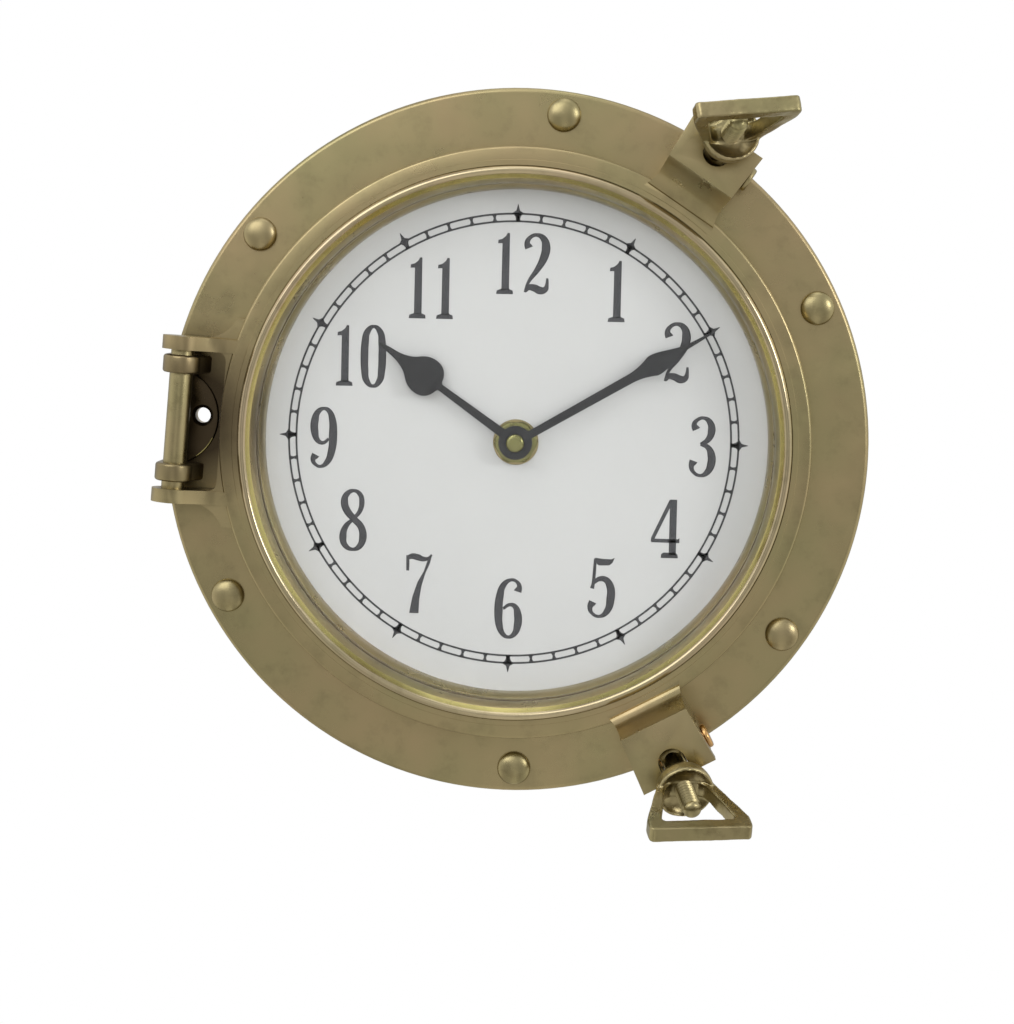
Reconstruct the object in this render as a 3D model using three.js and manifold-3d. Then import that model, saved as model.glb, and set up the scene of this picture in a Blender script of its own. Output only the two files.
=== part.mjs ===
// A porthole wall clock: a cast brass porthole with a hinged, glazed door that two
// swing bolts and loop nuts hold shut, over a dial and a battery movement.
// Millimetres. While it is modelled, +X is right, +Y is up and +Z points out of the wall,
// with the origin on the dial's axis in the wall plane. The last lines stand it up: +Z up.
import * as THREE from "three";
import { mergeVertices } from "three/addons/utils/BufferGeometryUtils.js";
import Module from "manifold-3d";

const wasm = await Module();
wasm.setup();

// Driving dimensions, in millimetres and degrees.
const clearance = 0.3; // between seated pieces
const runningGap = 0.1; // between a pin and its bore
const fitGap = 0.05; // between a pin and the hole that grips it
const beyond = 200; // past the whole clock, for cuts

// The rings, outwards and inwards from the view through the door.
const doorBoreRadius = 78.6;
const glassLedge = 4.6; // the step that the glass rests on
const bezelRim = 2.4; // the bezel's rim on the door's face
const doorFace = 4; // the plain face outside the bezel
const flangeBand = 17.9; // the flange outside the door
const lipOverhang = 2; // the lip hides this much more of the dial than the door
const lipWidth = 7.4; // from the lip's inside to the drum's outside
const drumWall = 3.4;
const dialGap = 0.6; // round the dial, inside the drum

const glassSeatRadius = doorBoreRadius + glassLedge;
const beadRadius = glassSeatRadius + bezelRim;
const doorRadius = beadRadius + doorFace;
const flangeRadius = doorRadius + flangeBand;
const openingRadius = doorBoreRadius - lipOverhang;
const drumRadius = openingRadius + lipWidth;
const drumInside = drumRadius - drumWall;
const dialRadius = drumInside - dialGap;

const flangeThickness = 5;
const flangeEdgeRound = 1.4;
const drumDepth = 28; // from the wall to the back of the flange
const lipDepth = 1.7; // how far the lip reaches behind the flange

const rivetInset = 7.2; // from the flange's rim to the rivets' circle
const rivetCircle = flangeRadius - rivetInset;
const rivetAngles = [24.2, 81.5, 140.7, 208, 269.8, 324.5];
const rivetHeadRadius = 5.1;
const rivetHeadHeight = 2.6;
const rivetShankRadius = 2.5;

const doorThickness = 9.4;
const doorEdgeRound = 0.9;
const seatThickness = 2;
const sealThickness = 0.7;
const glassThickness = 2.5;
const glassSideGap = 0.4; // round the glass and its seal
const beadHeight = 3.2; // above the door's face

// The hinge.
const hingeAngle = 175; // where the hinge stands on the flange
const hingeInset = 5.5; // from the flange's rim to the hinge's axis
const hingeAxisRadius = flangeRadius - hingeInset;
const hingeAxisHeight = 10.5; // above the flange
const hingePinRadius = 3.5;
const knucklePlaces = [15.6, -17.2]; // along the hinge pin
const knuckleWidth = 5.5;
const knuckleWall = 2.2; // round the hinge pin
const knuckleRadius = hingePinRadius + knuckleWall;
const earPlaces = [22, -24.3];
const earWidth = 4.1;
const earWall = 2.8; // round the hinge pin
const earRadius = hingePinRadius + earWall;
const earArm = 6; // from the hinge's axis to where the ear's root begins
const hingeFlatDepth = 0.6; // the straight edge between the ears, inside the door's rim
const hingeFlatRadius = doorRadius - hingeFlatDepth;
const hingeFlatCorner = 3;
const hingePadRadius = 15;
const hingePadThickness = 1.2;
const hingePadCentre = flangeRadius - 1.5;
const fixingHoleCircle = hingeAxisRadius - 5.9;
const fixingHoleRadius = 2.35;
const fixingSinkRadius = 3.2;

// The swing bolts, their clevises, the door's lugs and the loop nuts.
const dogAngles = { upper: 55.3, lower: -63 };
const dogTilts = { upper: 19.5, lower: 25 }; // how far each bolt leans out at rest
const nutTurns = { upper: 41, lower: -30 }; // the nut's turn on its bolt at rest
const pinHeadSides = { upper: -1, lower: 1 };
const pivotInset = 2.5; // from the flange's rim to the bolts' pivots
const pivotRadius = flangeRadius - pivotInset;
const pivotHeight = 10; // above the flange
const pivotPinRadius = 2.5;
const pivotHeadRadius = 3.8;
const pivotHeadThickness = 1.5;

const boltRadius = 3;
const boltEyeWall = 2.4; // round the pivot pin
const boltEyeRadius = pivotPinRadius + boltEyeWall;
const boltEyeWidth = 7;
const boltLength = 32.5; // from the pivot to the tip

const clevisHalfWidth = 11.4;
const clevisSideGap = 0.4; // on each side of the bolt's eye
const clevisGap = boltEyeWidth + 2 * clevisSideGap;
const clevisReach = 5; // outwards from the pivots
const clevisOuter = pivotRadius + clevisReach;
const clevisHeight = pivotHeight + 4.6;
const clevisRound = 3.5;

const lugFootInset = 6.5; // from the pivots in to the outer face of the lug's foot
const lugInner = pivotRadius - lugFootInset;
const clevisInner = lugInner + 0.7;
const lugOuter = clevisOuter + 0.3;
const lugRootHalf = 10.7;
const lugMouthHalf = 11.9;
const lugFoldRadius = lugInner - 1.5;
const lugRampStart = beadRadius + 1.4;
const lugRise = 12; // the lug's top above the pivots
const lugPlateThickness = 6;
const slotSideGap = 1.25; // on each side of the bolt
const slotWidth = 2 * (boltRadius + slotSideGap);
const slotInner = pivotRadius - boltRadius - 0.5;
const mouthCentre = pivotRadius + 6.5;

const nutStandOff = 3; // the collar, beyond the lug's top along the leaning bolt
const nutSeat = lugRise + nutStandOff; // from the pivot to the nut's collar
const nutLength = 29;
const nutCollarWall = 3;
const nutCollarRadius = boltRadius + nutCollarWall;
const nutCollarHeight = 9.5;
const nutFlangeThickness = 1.6; // the flat foot of the collar
const nutFlare = 1.4; // the collar's waist, inside its foot
const nutBarHalf = 15.3;
const nutBarThickness = 4.5;
const nutPlateThickness = 4.6;
const nutWaistHalf = 6.6;
const nutArmWidth = 4.4;
const nutWindowFoot = 3.4; // half the window's width above the collar
const mouthRadius = nutCollarRadius + 1.6; // the scallop at the slot's mouth

// The dial, its board and their screws.
const dialThickness = 0.5;
const dialBoardThickness = 4;
const boardScrewAngles = [45, 135, 225, 315];
const boardScrewRadius = 0.9;
const boardScrewHeadRadius = 1.8;
const boardScrewCircle = dialRadius + 0.4 - boardScrewHeadRadius;

// The hanger plate at the top of the drum.
const hangerWidth = 46;
const hangerHeight = 17.35;
const hangerThickness = 1.5;
const hangerLevel = 0.2; // above the wall
const hangerReach = drumInside - 0.25;
const hangerBottom = hangerReach - hangerHeight;
const hangerTabAngles = [76, 104];
const hangerTabHeight = 9;
const hangerTabHalf = 4;
const hangerScrewLevel = 5.2;
const hangerScrewShank = 1.2;
const hangerScrewHead = 2.4;
const keyholeRadius = 4.6;
const keyholeSlotRadius = 2.4;
const keyholeUp = 6; // from the plate's lower edge to the round hole's centre
const keyholeRise = 6; // from there to the slot's end

// The movement.
const batteryRadius = 7.1;
const batteryLength = 49.2;
const bayEndRoom = 2.5; // for a contact at each end of the battery
const bayGap = 0.7; // across the battery
const bayWall = 1; // between the wheels and the battery
const caseWall = 1.4;
const caseInside = batteryLength / 2 + bayEndRoom; // half the width inside the case
const caseHalf = caseInside + caseWall;
const caseDepth = 2 * batteryRadius + caseWall - 0.1;
const bayWallTop = bayWall + bayGap + 2 * batteryRadius - caseInside;
const gasketThickness = 0.6;
const gasketRadius = 14;

const arborRadius = 0.5;
const minuteArborRadius = 0.9;
const hourPipeBore = minuteArborRadius + 0.2;
const hourPipeWall = 1.2;
const hourPipeRadius = hourPipeBore + hourPipeWall;
const bushWall = 1.6;
const bushRadius = hourPipeRadius + bushWall;
const dialNutAcross = 2 * bushRadius + 4.5;
const dialNutThickness = 1.9;
const dialWasherRadius = 7;
const dialWasherThickness = 0.5;

// The wheels: each one's place follows from its teeth, its module and an angle.
const trainModule = 1 / 3;
const fastModule = 0.266;
const toothCounts = {
  rotorPinion: 6,
  fifth: 45,
  fifthPinion: 10,
  fourth: 40,
  fourthPinion: 6,
  third: 45,
  thirdPinion: 6,
  centre: 48,
  cannon: 10,
  motion: 30,
  motionPinion: 8,
  hour: 32,
};
const trainAngles = { third: 70, fourth: 0, fifth: 70, rotor: 150, motion: 180 };
const toothTip = 0.85; // past the pitch circle, in modules
const toothRoot = 1.2;
const motionGap = 5 / 12; // from the centre wheel's tips to the motion wheel's shaft
const centreTip = trainModule * (toothCounts.centre / 2 + toothTip);
const motionDistance = centreTip + motionGap + minuteArborRadius;
const motionModule = (2 * motionDistance) / (toothCounts.cannon + toothCounts.motion);
const wheelThickness = 0.7;
const pinionLength = 2.9;
const levelStep = 1.8; // from one wheel to the next in front of it
const firstLevel = 0.9; // the first wheel's height over the cover
const magnetRadius = 2.6;
const statorThickness = 1.4;
const statorHalf = 1.6; // half the width of the long leg
const coilPlace = -14.5; // across, from the clock's axis
const coilRadius = 3.1;
const knobRadius = 5.5;

// The hands.
const minuteHandMargin = 7.7; // from the minute hand's tip to the lip
const minuteHandLength = openingRadius - minuteHandMargin;
const hourHandLength = 51.9;
const handHubRadius = 5.15;
const handThickness = 0.6;
const handGap = 0.9; // between the hands
const minuteHandAngle = 60.7; // clockwise from twelve
const hourHandAngle = 306.3;
const capNutRadius = 2.75;
const capNutHeight = 1.8;

const ringSides = 56;
const discSides = 40;
const roundSides = 18;
const pinSides = 20;
const smallSides = 12;
const tinySides = 8;

// Levels, above the wall.
const flangeFront = drumDepth + flangeThickness;
const lipBack = drumDepth - lipDepth;
const dialFront = lipBack - clearance / 3;
const dialBack = dialFront - dialThickness;
const boardFront = dialBack - clearance / 3;
const boardBack = boardFront - dialBoardThickness;
const gasketBack = boardBack - gasketThickness - clearance / 3;
const caseFront = gasketBack - clearance / 3;
const caseBack = caseFront - caseDepth;
const coverFront = caseBack + caseWall;
const caseInnerFront = caseFront - caseWall;
const doorBack = flangeFront + clearance;
const doorFront = doorBack + doorThickness;
const sealBack = doorBack + seatThickness + clearance / 3;
const glassBack = sealBack + sealThickness + clearance / 3;
const beadBack = glassBack + glassThickness + clearance / 3;
const hingeLevel = flangeFront + hingeAxisHeight;
const pivotLevel = flangeFront + pivotHeight;
const lugLevel = pivotLevel + lugRise;

const radians = THREE.MathUtils.degToRad;

// Finishes, by eye from the photograph.
const finish = (colour, roughness, metalness) =>
  new THREE.MeshStandardMaterial({ color: colour, roughness, metalness });
const antiqueBrass = finish(0x8f8163, 0.42, 0.9);
const polishedBrass = finish(0xa89a55, 0.25, 0.95);
const copperBrass = finish(0xb8823f, 0.3, 0.95);
const blackPaint = finish(0x1b1b1d, 0.55, 0.1);
const dialWhite = finish(0xdddcdc, 0.6, 0);
const boardBrown = finish(0x7a5c3d, 0.85, 0);
const blackPlastic = finish(0x1a1a1a, 0.5, 0);
const whitePlastic = finish(0xd9d6c8, 0.5, 0);
const blackRubber = finish(0x111111, 0.9, 0);
const clearGlass = finish(0xe8f0f0, 0.03, 0);
clearGlass.transparent = true;
clearGlass.opacity = 0.15;
const steel = finish(0x9a9a9a, 0.35, 0.9);
const copperWire = finish(0xa35a2a, 0.4, 0.8);
const boardGreen = finish(0x2c5a37, 0.6, 0);
const batteryGrey = finish(0x5d6166, 0.4, 0.5);

// A closed geometry as a solid, without the slivers that meet on an axis.
function solid(geometry) {
  const bare = new THREE.BufferGeometry();
  bare.setAttribute("position", geometry.getAttribute("position"));
  bare.setIndex(geometry.index);
  const merged = mergeVertices(bare, 1e-4);
  const kept = [];
  const index = merged.index.array;
  for (let i = 0; i < index.length; i += 3) {
    const [a, b, c] = [index[i], index[i + 1], index[i + 2]];
    if (a !== b && b !== c && c !== a) kept.push(a, b, c);
  }
  return new wasm.Manifold(
    new wasm.Mesh({
      numProp: 3,
      vertProperties: merged.getAttribute("position").array,
      triVerts: new Uint32Array(kept),
    }),
  );
}

// A solid's surface as a geometry.
function surface(body) {
  const { vertProperties, triVerts } = body.getMesh();
  const geometry = new THREE.BufferGeometry();
  geometry.setAttribute("position", new THREE.BufferAttribute(vertProperties, 3));
  geometry.setIndex(new THREE.BufferAttribute(triVerts, 1));
  return geometry;
}

const join = (...pieces) =>
  surface(pieces.map(solid).reduce((sum, piece) => sum.add(piece)));
const cut = (whole, ...tools) =>
  surface(tools.map(solid).reduce((left, tool) => left.subtract(tool), solid(whole)));
const common = (first, second) => surface(solid(first).intersect(solid(second)));

// A profile of [radius, height] points, anticlockwise, turned about the Z axis.
function turned(profile, sides = ringSides) {
  const points = profile.map(([radius, height]) => new THREE.Vector2(radius, height));
  points.push(points[0].clone());
  return new THREE.LatheGeometry(points, sides).rotateX(Math.PI / 2);
}

// Points of an arc in a profile, from one angle to another in degrees.
function arc(x, y, radius, from, to, steps) {
  const points = [];
  for (let i = 0; i <= steps; i++) {
    const angle = radians(from + ((to - from) * i) / steps);
    points.push([x + radius * Math.cos(angle), y + radius * Math.sin(angle)]);
  }
  return points;
}

// A flat shape of the XY plane, raised between two heights.
function plate(shape, low, high, curveSegments = 12) {
  const options = { depth: high - low, bevelEnabled: false, curveSegments };
  return new THREE.ExtrudeGeometry(shape, options).translate(0, 0, low);
}

// A flat shape of the XZ plane, as wide as asked along Y about a middle.
function slab(shape, middle, width, curveSegments = 12) {
  return plate(shape, -width / 2, width / 2, curveSegments)
    .rotateX(Math.PI / 2)
    .translate(0, middle, 0);
}

function shapeOf(points) {
  return new THREE.Shape(points.map(([x, y]) => new THREE.Vector2(x, y)));
}

function block(x0, x1, y0, y1, z0, z1) {
  const geometry = new THREE.BoxGeometry(x1 - x0, y1 - y0, z1 - z0);
  return geometry.translate((x0 + x1) / 2, (y0 + y1) / 2, (z0 + z1) / 2);
}

// A round bar along Z at (x, y).
function bar(radius, low, high, sides = roundSides, x = 0, y = 0) {
  const geometry = new THREE.CylinderGeometry(radius, radius, high - low, sides);
  return geometry.rotateX(Math.PI / 2).translate(x, y, (low + high) / 2);
}

// A round bar along Y through (x, z).
function crossBar(radius, low, high, x, z, sides = roundSides) {
  const geometry = new THREE.CylinderGeometry(radius, radius, high - low, sides);
  return geometry.translate(x, (low + high) / 2, z);
}

// A flat washer or ring between two heights.
function ring(outer, inner, low, high, sides = ringSides) {
  return turned([[inner, low], [outer, low], [outer, high], [inner, high]], sides);
}

function named(name, geometry, material) {
  geometry.deleteAttribute("uv");
  geometry.computeVertexNormals();
  const mesh = new THREE.Mesh(geometry, material);
  mesh.name = name;
  return mesh;
}

function polar(radius, degrees) {
  const angle = radians(degrees);
  return [radius * Math.cos(angle), radius * Math.sin(angle)];
}

// Turns a geometry about the clock's axis.
const atAngle = (geometry, degrees) => geometry.rotateZ(radians(degrees));

// The hinge's own frame: -X points at the hinge, +Y runs along its pin.
const hingeTurn = hingeAngle - 180;

// The fixed casting.

// The turned body: drum, flange and the lip in front of the dial.
function flangeBody() {
  const round = flangeEdgeRound;
  const rim = flangeRadius - round;
  const fillet = 2;
  const chamfer = 0.6;
  return turned([
    [drumInside, 0],
    [drumRadius, 0],
    [drumRadius, drumDepth - fillet],
    ...arc(drumRadius + fillet, drumDepth - fillet, fillet, 180, 90, 2).slice(1),
    [flangeRadius - chamfer, drumDepth],
    [flangeRadius, drumDepth + chamfer],
    ...arc(rim, flangeFront - round, round, 0, 90, 3),
    [openingRadius, flangeFront],
    [openingRadius, lipBack],
    [drumInside, lipBack],
  ]);
}

// One of the two blocks that hold the hinge pin.
function knuckle(middle) {
  const shape = new THREE.Shape();
  const foot = flangeFront - 1;
  shape.moveTo(-hingeAxisRadius - knuckleRadius, foot);
  shape.lineTo(-hingeAxisRadius + knuckleRadius + 1.5, foot);
  shape.lineTo(-hingeAxisRadius + knuckleRadius, hingeLevel);
  shape.absarc(-hingeAxisRadius, hingeLevel, knuckleRadius, 0, Math.PI, false);
  // The extrusion is turned about X, so its Y becomes the height.
  return slab(shape, middle, knuckleWidth, 8);
}

function hingePad() {
  const top = flangeFront + hingePadThickness;
  const pad = bar(hingePadRadius, flangeFront - 1, top, 32, -hingePadCentre, -1);
  const within = bar(flangeRadius - flangeEdgeRound, 0, top + 1, ringSides);
  const doorRoom = bar(doorRadius + clearance, 0, top + 1, ringSides);
  return cut(common(pad, within), doorRoom);
}

function fixingHole() {
  const top = flangeFront + hingePadThickness;
  const hole = bar(fixingHoleRadius, drumDepth - 1, top + 1, roundSides, -fixingHoleCircle);
  // The countersink's cone runs on past its edge and past the hole's wall.
  const past = 0.5;
  const wide = fixingSinkRadius + past;
  const narrow = fixingHoleRadius - past;
  const sink = new THREE.CylinderGeometry(wide, narrow, wide - narrow, roundSides);
  sink.rotateX(Math.PI / 2);
  sink.translate(-fixingHoleCircle, 0, top + past - (wide - narrow) / 2);
  return join(hole, sink);
}

// The forked block that a swing bolt turns in.
function clevis(angle) {
  const rounding = clevisRound;
  const shape = new THREE.Shape();
  const top = flangeFront + clevisHeight;
  shape.moveTo(clevisInner, flangeFront - 1);
  shape.lineTo(clevisOuter - 2.5, flangeFront - 1);
  shape.lineTo(clevisOuter, flangeFront + 2.5);
  shape.lineTo(clevisOuter, top - rounding);
  shape.absarc(clevisOuter - rounding, top - rounding, rounding, 0, Math.PI / 2, false);
  shape.lineTo(clevisInner, top);
  const fork = slab(shape, 0, 2 * clevisHalfWidth, 5);
  const gap = block(0, beyond, -clevisGap / 2, clevisGap / 2, flangeFront + 2, beyond);
  const eyeRoom = boltEyeRadius + 0.6;
  const room = crossBar(eyeRoom, -clevisGap / 2, clevisGap / 2, pivotRadius, pivotLevel);
  const reach = 2 * clevisHalfWidth;
  const bore = crossBar(pivotPinRadius + runningGap, -reach, reach, pivotRadius, pivotLevel);
  return atAngle(cut(fork, gap, room, bore), angle);
}

// The bore of the hinge, through its knuckles and the door's ears.
function hingeBore(gap) {
  const radius = hingePinRadius + gap;
  return crossBar(radius, -beyond, beyond, -hingeAxisRadius, hingeLevel, pinSides);
}

function baseFlange() {
  const hinge = join(...knucklePlaces.map(knuckle), hingePad());
  let casting = join(
    flangeBody(),
    atAngle(hinge, hingeTurn),
    clevis(dogAngles.upper),
    clevis(dogAngles.lower),
  );
  const holes = rivetAngles.map((angle) => {
    const [x, y] = polar(rivetCircle, angle);
    return bar(rivetShankRadius + fitGap, 0, beyond, smallSides, x, y);
  });
  const screwHoles = boardScrewAngles.map((angle) => {
    const [x, y] = polar(boardScrewCircle, angle);
    return bar(boardScrewRadius + fitGap, 0, lipBack + 3.5, tinySides, x, y);
  });
  return named(
    "base_flange",
    cut(
      casting,
      atAngle(hingeBore(fitGap), hingeTurn),
      atAngle(fixingHole(), hingeTurn),
      ...holes,
      ...hangerHoles(),
      ...screwHoles,
    ),
    antiqueBrass,
  );
}

// A domed rivet through the flange.
function rivet(index) {
  const [x, y] = polar(rivetCircle, rivetAngles[index]);
  const seat = flangeFront + fitGap;
  // The dome is the cap of a sphere that meets the head's rim.
  const sphere =
    (rivetHeadRadius ** 2 + rivetHeadHeight ** 2) / (2 * rivetHeadHeight);
  const half = THREE.MathUtils.radToDeg(Math.asin(rivetHeadRadius / sphere));
  const dome = arc(0, seat + rivetHeadHeight - sphere, sphere, 90 - half, 90, 3);
  dome[dome.length - 1][0] = 0;
  const geometry = turned(
    [
      [0, drumDepth],
      [rivetShankRadius, drumDepth],
      [rivetShankRadius, seat],
      ...dome,
    ],
    smallSides,
  );
  return named("rivet_" + (index + 1), geometry.translate(x, y, 0), polishedBrass);
}

function hingePin() {
  const top = earPlaces[0] + earWidth / 2;
  const bottom = earPlaces[1] - earWidth / 2;
  const chamfer = 0.5;
  const profile = [
    [0, bottom],
    [hingePinRadius - chamfer, bottom],
    [hingePinRadius, bottom + chamfer],
    [hingePinRadius, top - chamfer],
    [hingePinRadius - chamfer, top],
    [0, top],
  ];
  const geometry = turned(profile, pinSides).rotateX(-Math.PI / 2);
  geometry.translate(-hingeAxisRadius, 0, hingeLevel);
  return named("hinge_pin", atAngle(geometry, hingeTurn), polishedBrass);
}

// The headed pin that a swing bolt turns on.
function pivotPin(which) {
  const side = pinHeadSides[which];
  const head = clevisHalfWidth + 0.2;
  const end = head + pivotHeadThickness;
  const profile = [
    [0, -clevisHalfWidth],
    [pivotPinRadius, -clevisHalfWidth],
    [pivotPinRadius, head],
    [pivotHeadRadius, head],
    [pivotHeadRadius, end - 0.5],
    [pivotHeadRadius - 0.7, end],
    [0, end],
  ];
  const geometry = turned(profile, smallSides).rotateX(-Math.PI / 2);
  if (side < 0) geometry.rotateZ(Math.PI);
  geometry.translate(pivotRadius, 0, pivotLevel);
  return named("dog_pin_" + which, atAngle(geometry, dogAngles[which]), copperBrass);
}

// The door.

function doorRingBody() {
  const round = doorEdgeRound;
  const chamfer = 0.5;
  return turned([
    [doorBoreRadius, doorBack],
    [doorRadius - chamfer, doorBack],
    [doorRadius, doorBack + chamfer],
    ...arc(doorRadius - round, doorFront - chamfer - round, round, 0, 80, 2),
    [beadRadius - 0.2, doorFront],
    [glassSeatRadius, doorFront],
    [glassSeatRadius, doorBack + seatThickness],
    [doorBoreRadius, doorBack + seatThickness],
  ]);
}

// A door ear: an eye on the hinge axis and an arm that flows into the door ring.
function ear(middle) {
  const axis = -hingeAxisRadius;
  const shape = new THREE.Shape();
  shape.moveTo(axis, hingeLevel - earRadius);
  shape.lineTo(-doorRadius, doorBack + 0.7);
  shape.lineTo(-beadRadius, doorBack + 0.7);
  shape.lineTo(-beadRadius, doorFront - 0.2);
  shape.lineTo(-doorRadius + 1, doorFront - 0.2);
  shape.quadraticCurveTo(-doorRadius - 4, doorFront + 0.4, axis + 3, hingeLevel + earRadius - 0.8);
  shape.lineTo(axis, hingeLevel + earRadius);
  shape.absarc(axis, hingeLevel, earRadius, Math.PI / 2, (3 * Math.PI) / 2, false);
  return slab(shape, middle, earWidth, 8);
}

// The gusset that spreads an ear into the ring on its outer side.
function earRoot(middle) {
  const side = Math.sign(middle);
  const start = middle + (side * earWidth) / 2;
  const tip = hingeAxisRadius - earArm;
  const points = [
    [-beadRadius + 4, start - side * earWidth],
    [-tip, start - side * earWidth],
    [-tip, start],
    [-doorRadius - 1.9, start + side * 0.9],
    [-doorRadius + 1.4, start + side * 3.4],
    [-beadRadius + 4, start + side * 6],
  ];
  if (side < 0) points.reverse();
  return plate(shapeOf(points.reverse()), doorBack + 0.7, doorFront - 0.7);
}

// The door's plain inner flat between its ears.
function hingeFlat() {
  const [top, bottom] = earPlaces.map((place) => place - (Math.sign(place) * earWidth) / 2);
  const middle = (top + bottom) / 2;
  const half = (top - bottom) / 2;
  const shape = new THREE.Shape();
  const inner = -hingeFlatRadius;
  const corner = hingeFlatCorner;
  shape.moveTo(-beyond, middle - half);
  shape.lineTo(inner - corner, middle - half);
  shape.quadraticCurveTo(inner, middle - half, inner, middle - half + corner);
  shape.lineTo(inner, middle + half - corner);
  shape.quadraticCurveTo(inner, middle + half, inner - corner, middle + half);
  shape.lineTo(-beyond, middle + half);
  return plate(shape, 0, beyond, 6);
}

// The filling between the ears, up to the flat.
function hingeWeb() {
  const [top, bottom] = earPlaces;
  const tip = hingeAxisRadius - earArm;
  return block(-tip, -beadRadius + 1, bottom, top, doorBack + 0.7, doorFront - 0.7);
}

function lug(angle) {
  const profile = shapeOf([
    [beadRadius - 1, doorBack],
    [lugInner, doorBack],
    [lugInner, lugLevel - lugPlateThickness],
    [lugOuter, lugLevel - lugPlateThickness],
    [lugOuter, lugLevel],
    [lugFoldRadius, lugLevel],
    [lugRampStart, doorFront - 0.1],
    [beadRadius - 1, doorFront - 0.1],
  ]);
  const foot = lugRootHalf + 5;
  const side = slab(profile, 0, 4 * foot);
  const plan = new THREE.Shape();
  plan.moveTo(beadRadius - 1, -foot);
  plan.quadraticCurveTo(doorRadius, -lugRootHalf - 0.6, doorRadius + 3.5, -lugRootHalf);
  plan.lineTo(lugOuter, -lugMouthHalf);
  plan.lineTo(lugOuter, lugMouthHalf);
  plan.lineTo(doorRadius + 3.5, lugRootHalf);
  plan.quadraticCurveTo(doorRadius, lugRootHalf + 0.6, beadRadius - 1, foot);
  const outline = plate(plan, 0, beyond, 6);
  const half = slotWidth / 2;
  const slotCentre = slotInner + half;
  const slot = join(
    block(slotCentre, beyond, -half, half, flangeFront + 2, beyond),
    bar(half, flangeFront + 2, beyond, roundSides, slotCentre),
    bar(mouthRadius, flangeFront + 2, beyond, roundSides, mouthCentre),
  );
  return atAngle(cut(common(side, outline), slot), angle);
}

function doorRing() {
  const arms = join(hingeWeb(), ...earPlaces.map(ear), ...earPlaces.map(earRoot));
  const glassRoom = bar(glassSeatRadius + 0.5, 0, beyond, ringSides);
  const whole = join(
    doorRingBody(),
    atAngle(cut(arms, hingeFlat(), glassRoom), hingeTurn),
    lug(dogAngles.upper),
    lug(dogAngles.lower),
  );
  const bore = atAngle(hingeBore(runningGap), hingeTurn);
  return named("door_ring", cut(whole, bore), antiqueBrass);
}

// The polished ring that holds the glass in the door, with its two beads.
function bezelRing() {
  const seat = doorFront + clearance / 3;
  const spigot = glassSeatRadius - clearance / 2;
  const inner = doorBoreRadius + 2 * clearance;
  const bead = (beadRadius - inner) / 4;
  const innerBead = 1.3 * bead;
  const outerCentre = seat + (beadHeight - 1.2) / 2;
  const crest = doorFront + beadHeight;
  return named(
    "bezel_ring",
    turned([
      [inner, beadBack],
      [spigot, beadBack],
      [spigot, seat],
      [beadRadius, seat],
      ...arc(beadRadius - bead, outerCentre, bead, 0, 150, 3),
      ...arc(beadRadius - 2.7 * bead, crest - innerBead + 0.78, innerBead, 60, 150, 3),
      [inner, seat + 0.1],
    ]),
    polishedBrass,
  );
}

function glassSeal() {
  return named(
    "glass_seal",
    ring(
      glassSeatRadius - glassSideGap,
      doorBoreRadius + clearance,
      sealBack,
      sealBack + sealThickness,
      discSides,
    ),
    blackRubber,
  );
}

function doorGlass() {
  const radius = glassSeatRadius - glassSideGap;
  const disc = bar(radius, glassBack, glassBack + glassThickness, discSides);
  return named("door_glass", disc, clearGlass);
}

// The swing bolts and their nuts, each in its own frame: the pivot at the origin,
// +Z along the bolt, +Y along the pivot pin.

function dogBolt(which) {
  const chamfer = 1.4;
  const shank = turned(
    [
      [0, 0],
      [boltRadius, 0],
      [boltRadius, boltLength - chamfer],
      ...arc(boltRadius - chamfer, boltLength - chamfer, chamfer, 30, 90, 2),
      [0, boltLength],
    ],
    roundSides,
  );
  const half = boltEyeWidth / 2;
  const eye = crossBar(boltEyeRadius, -half, half, 0, 0);
  const bore = crossBar(pivotPinRadius + runningGap, -beyond, beyond, 0, 0);
  return named("dog_bolt_" + which, cut(join(shank, eye), bore), antiqueBrass);
}

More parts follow.
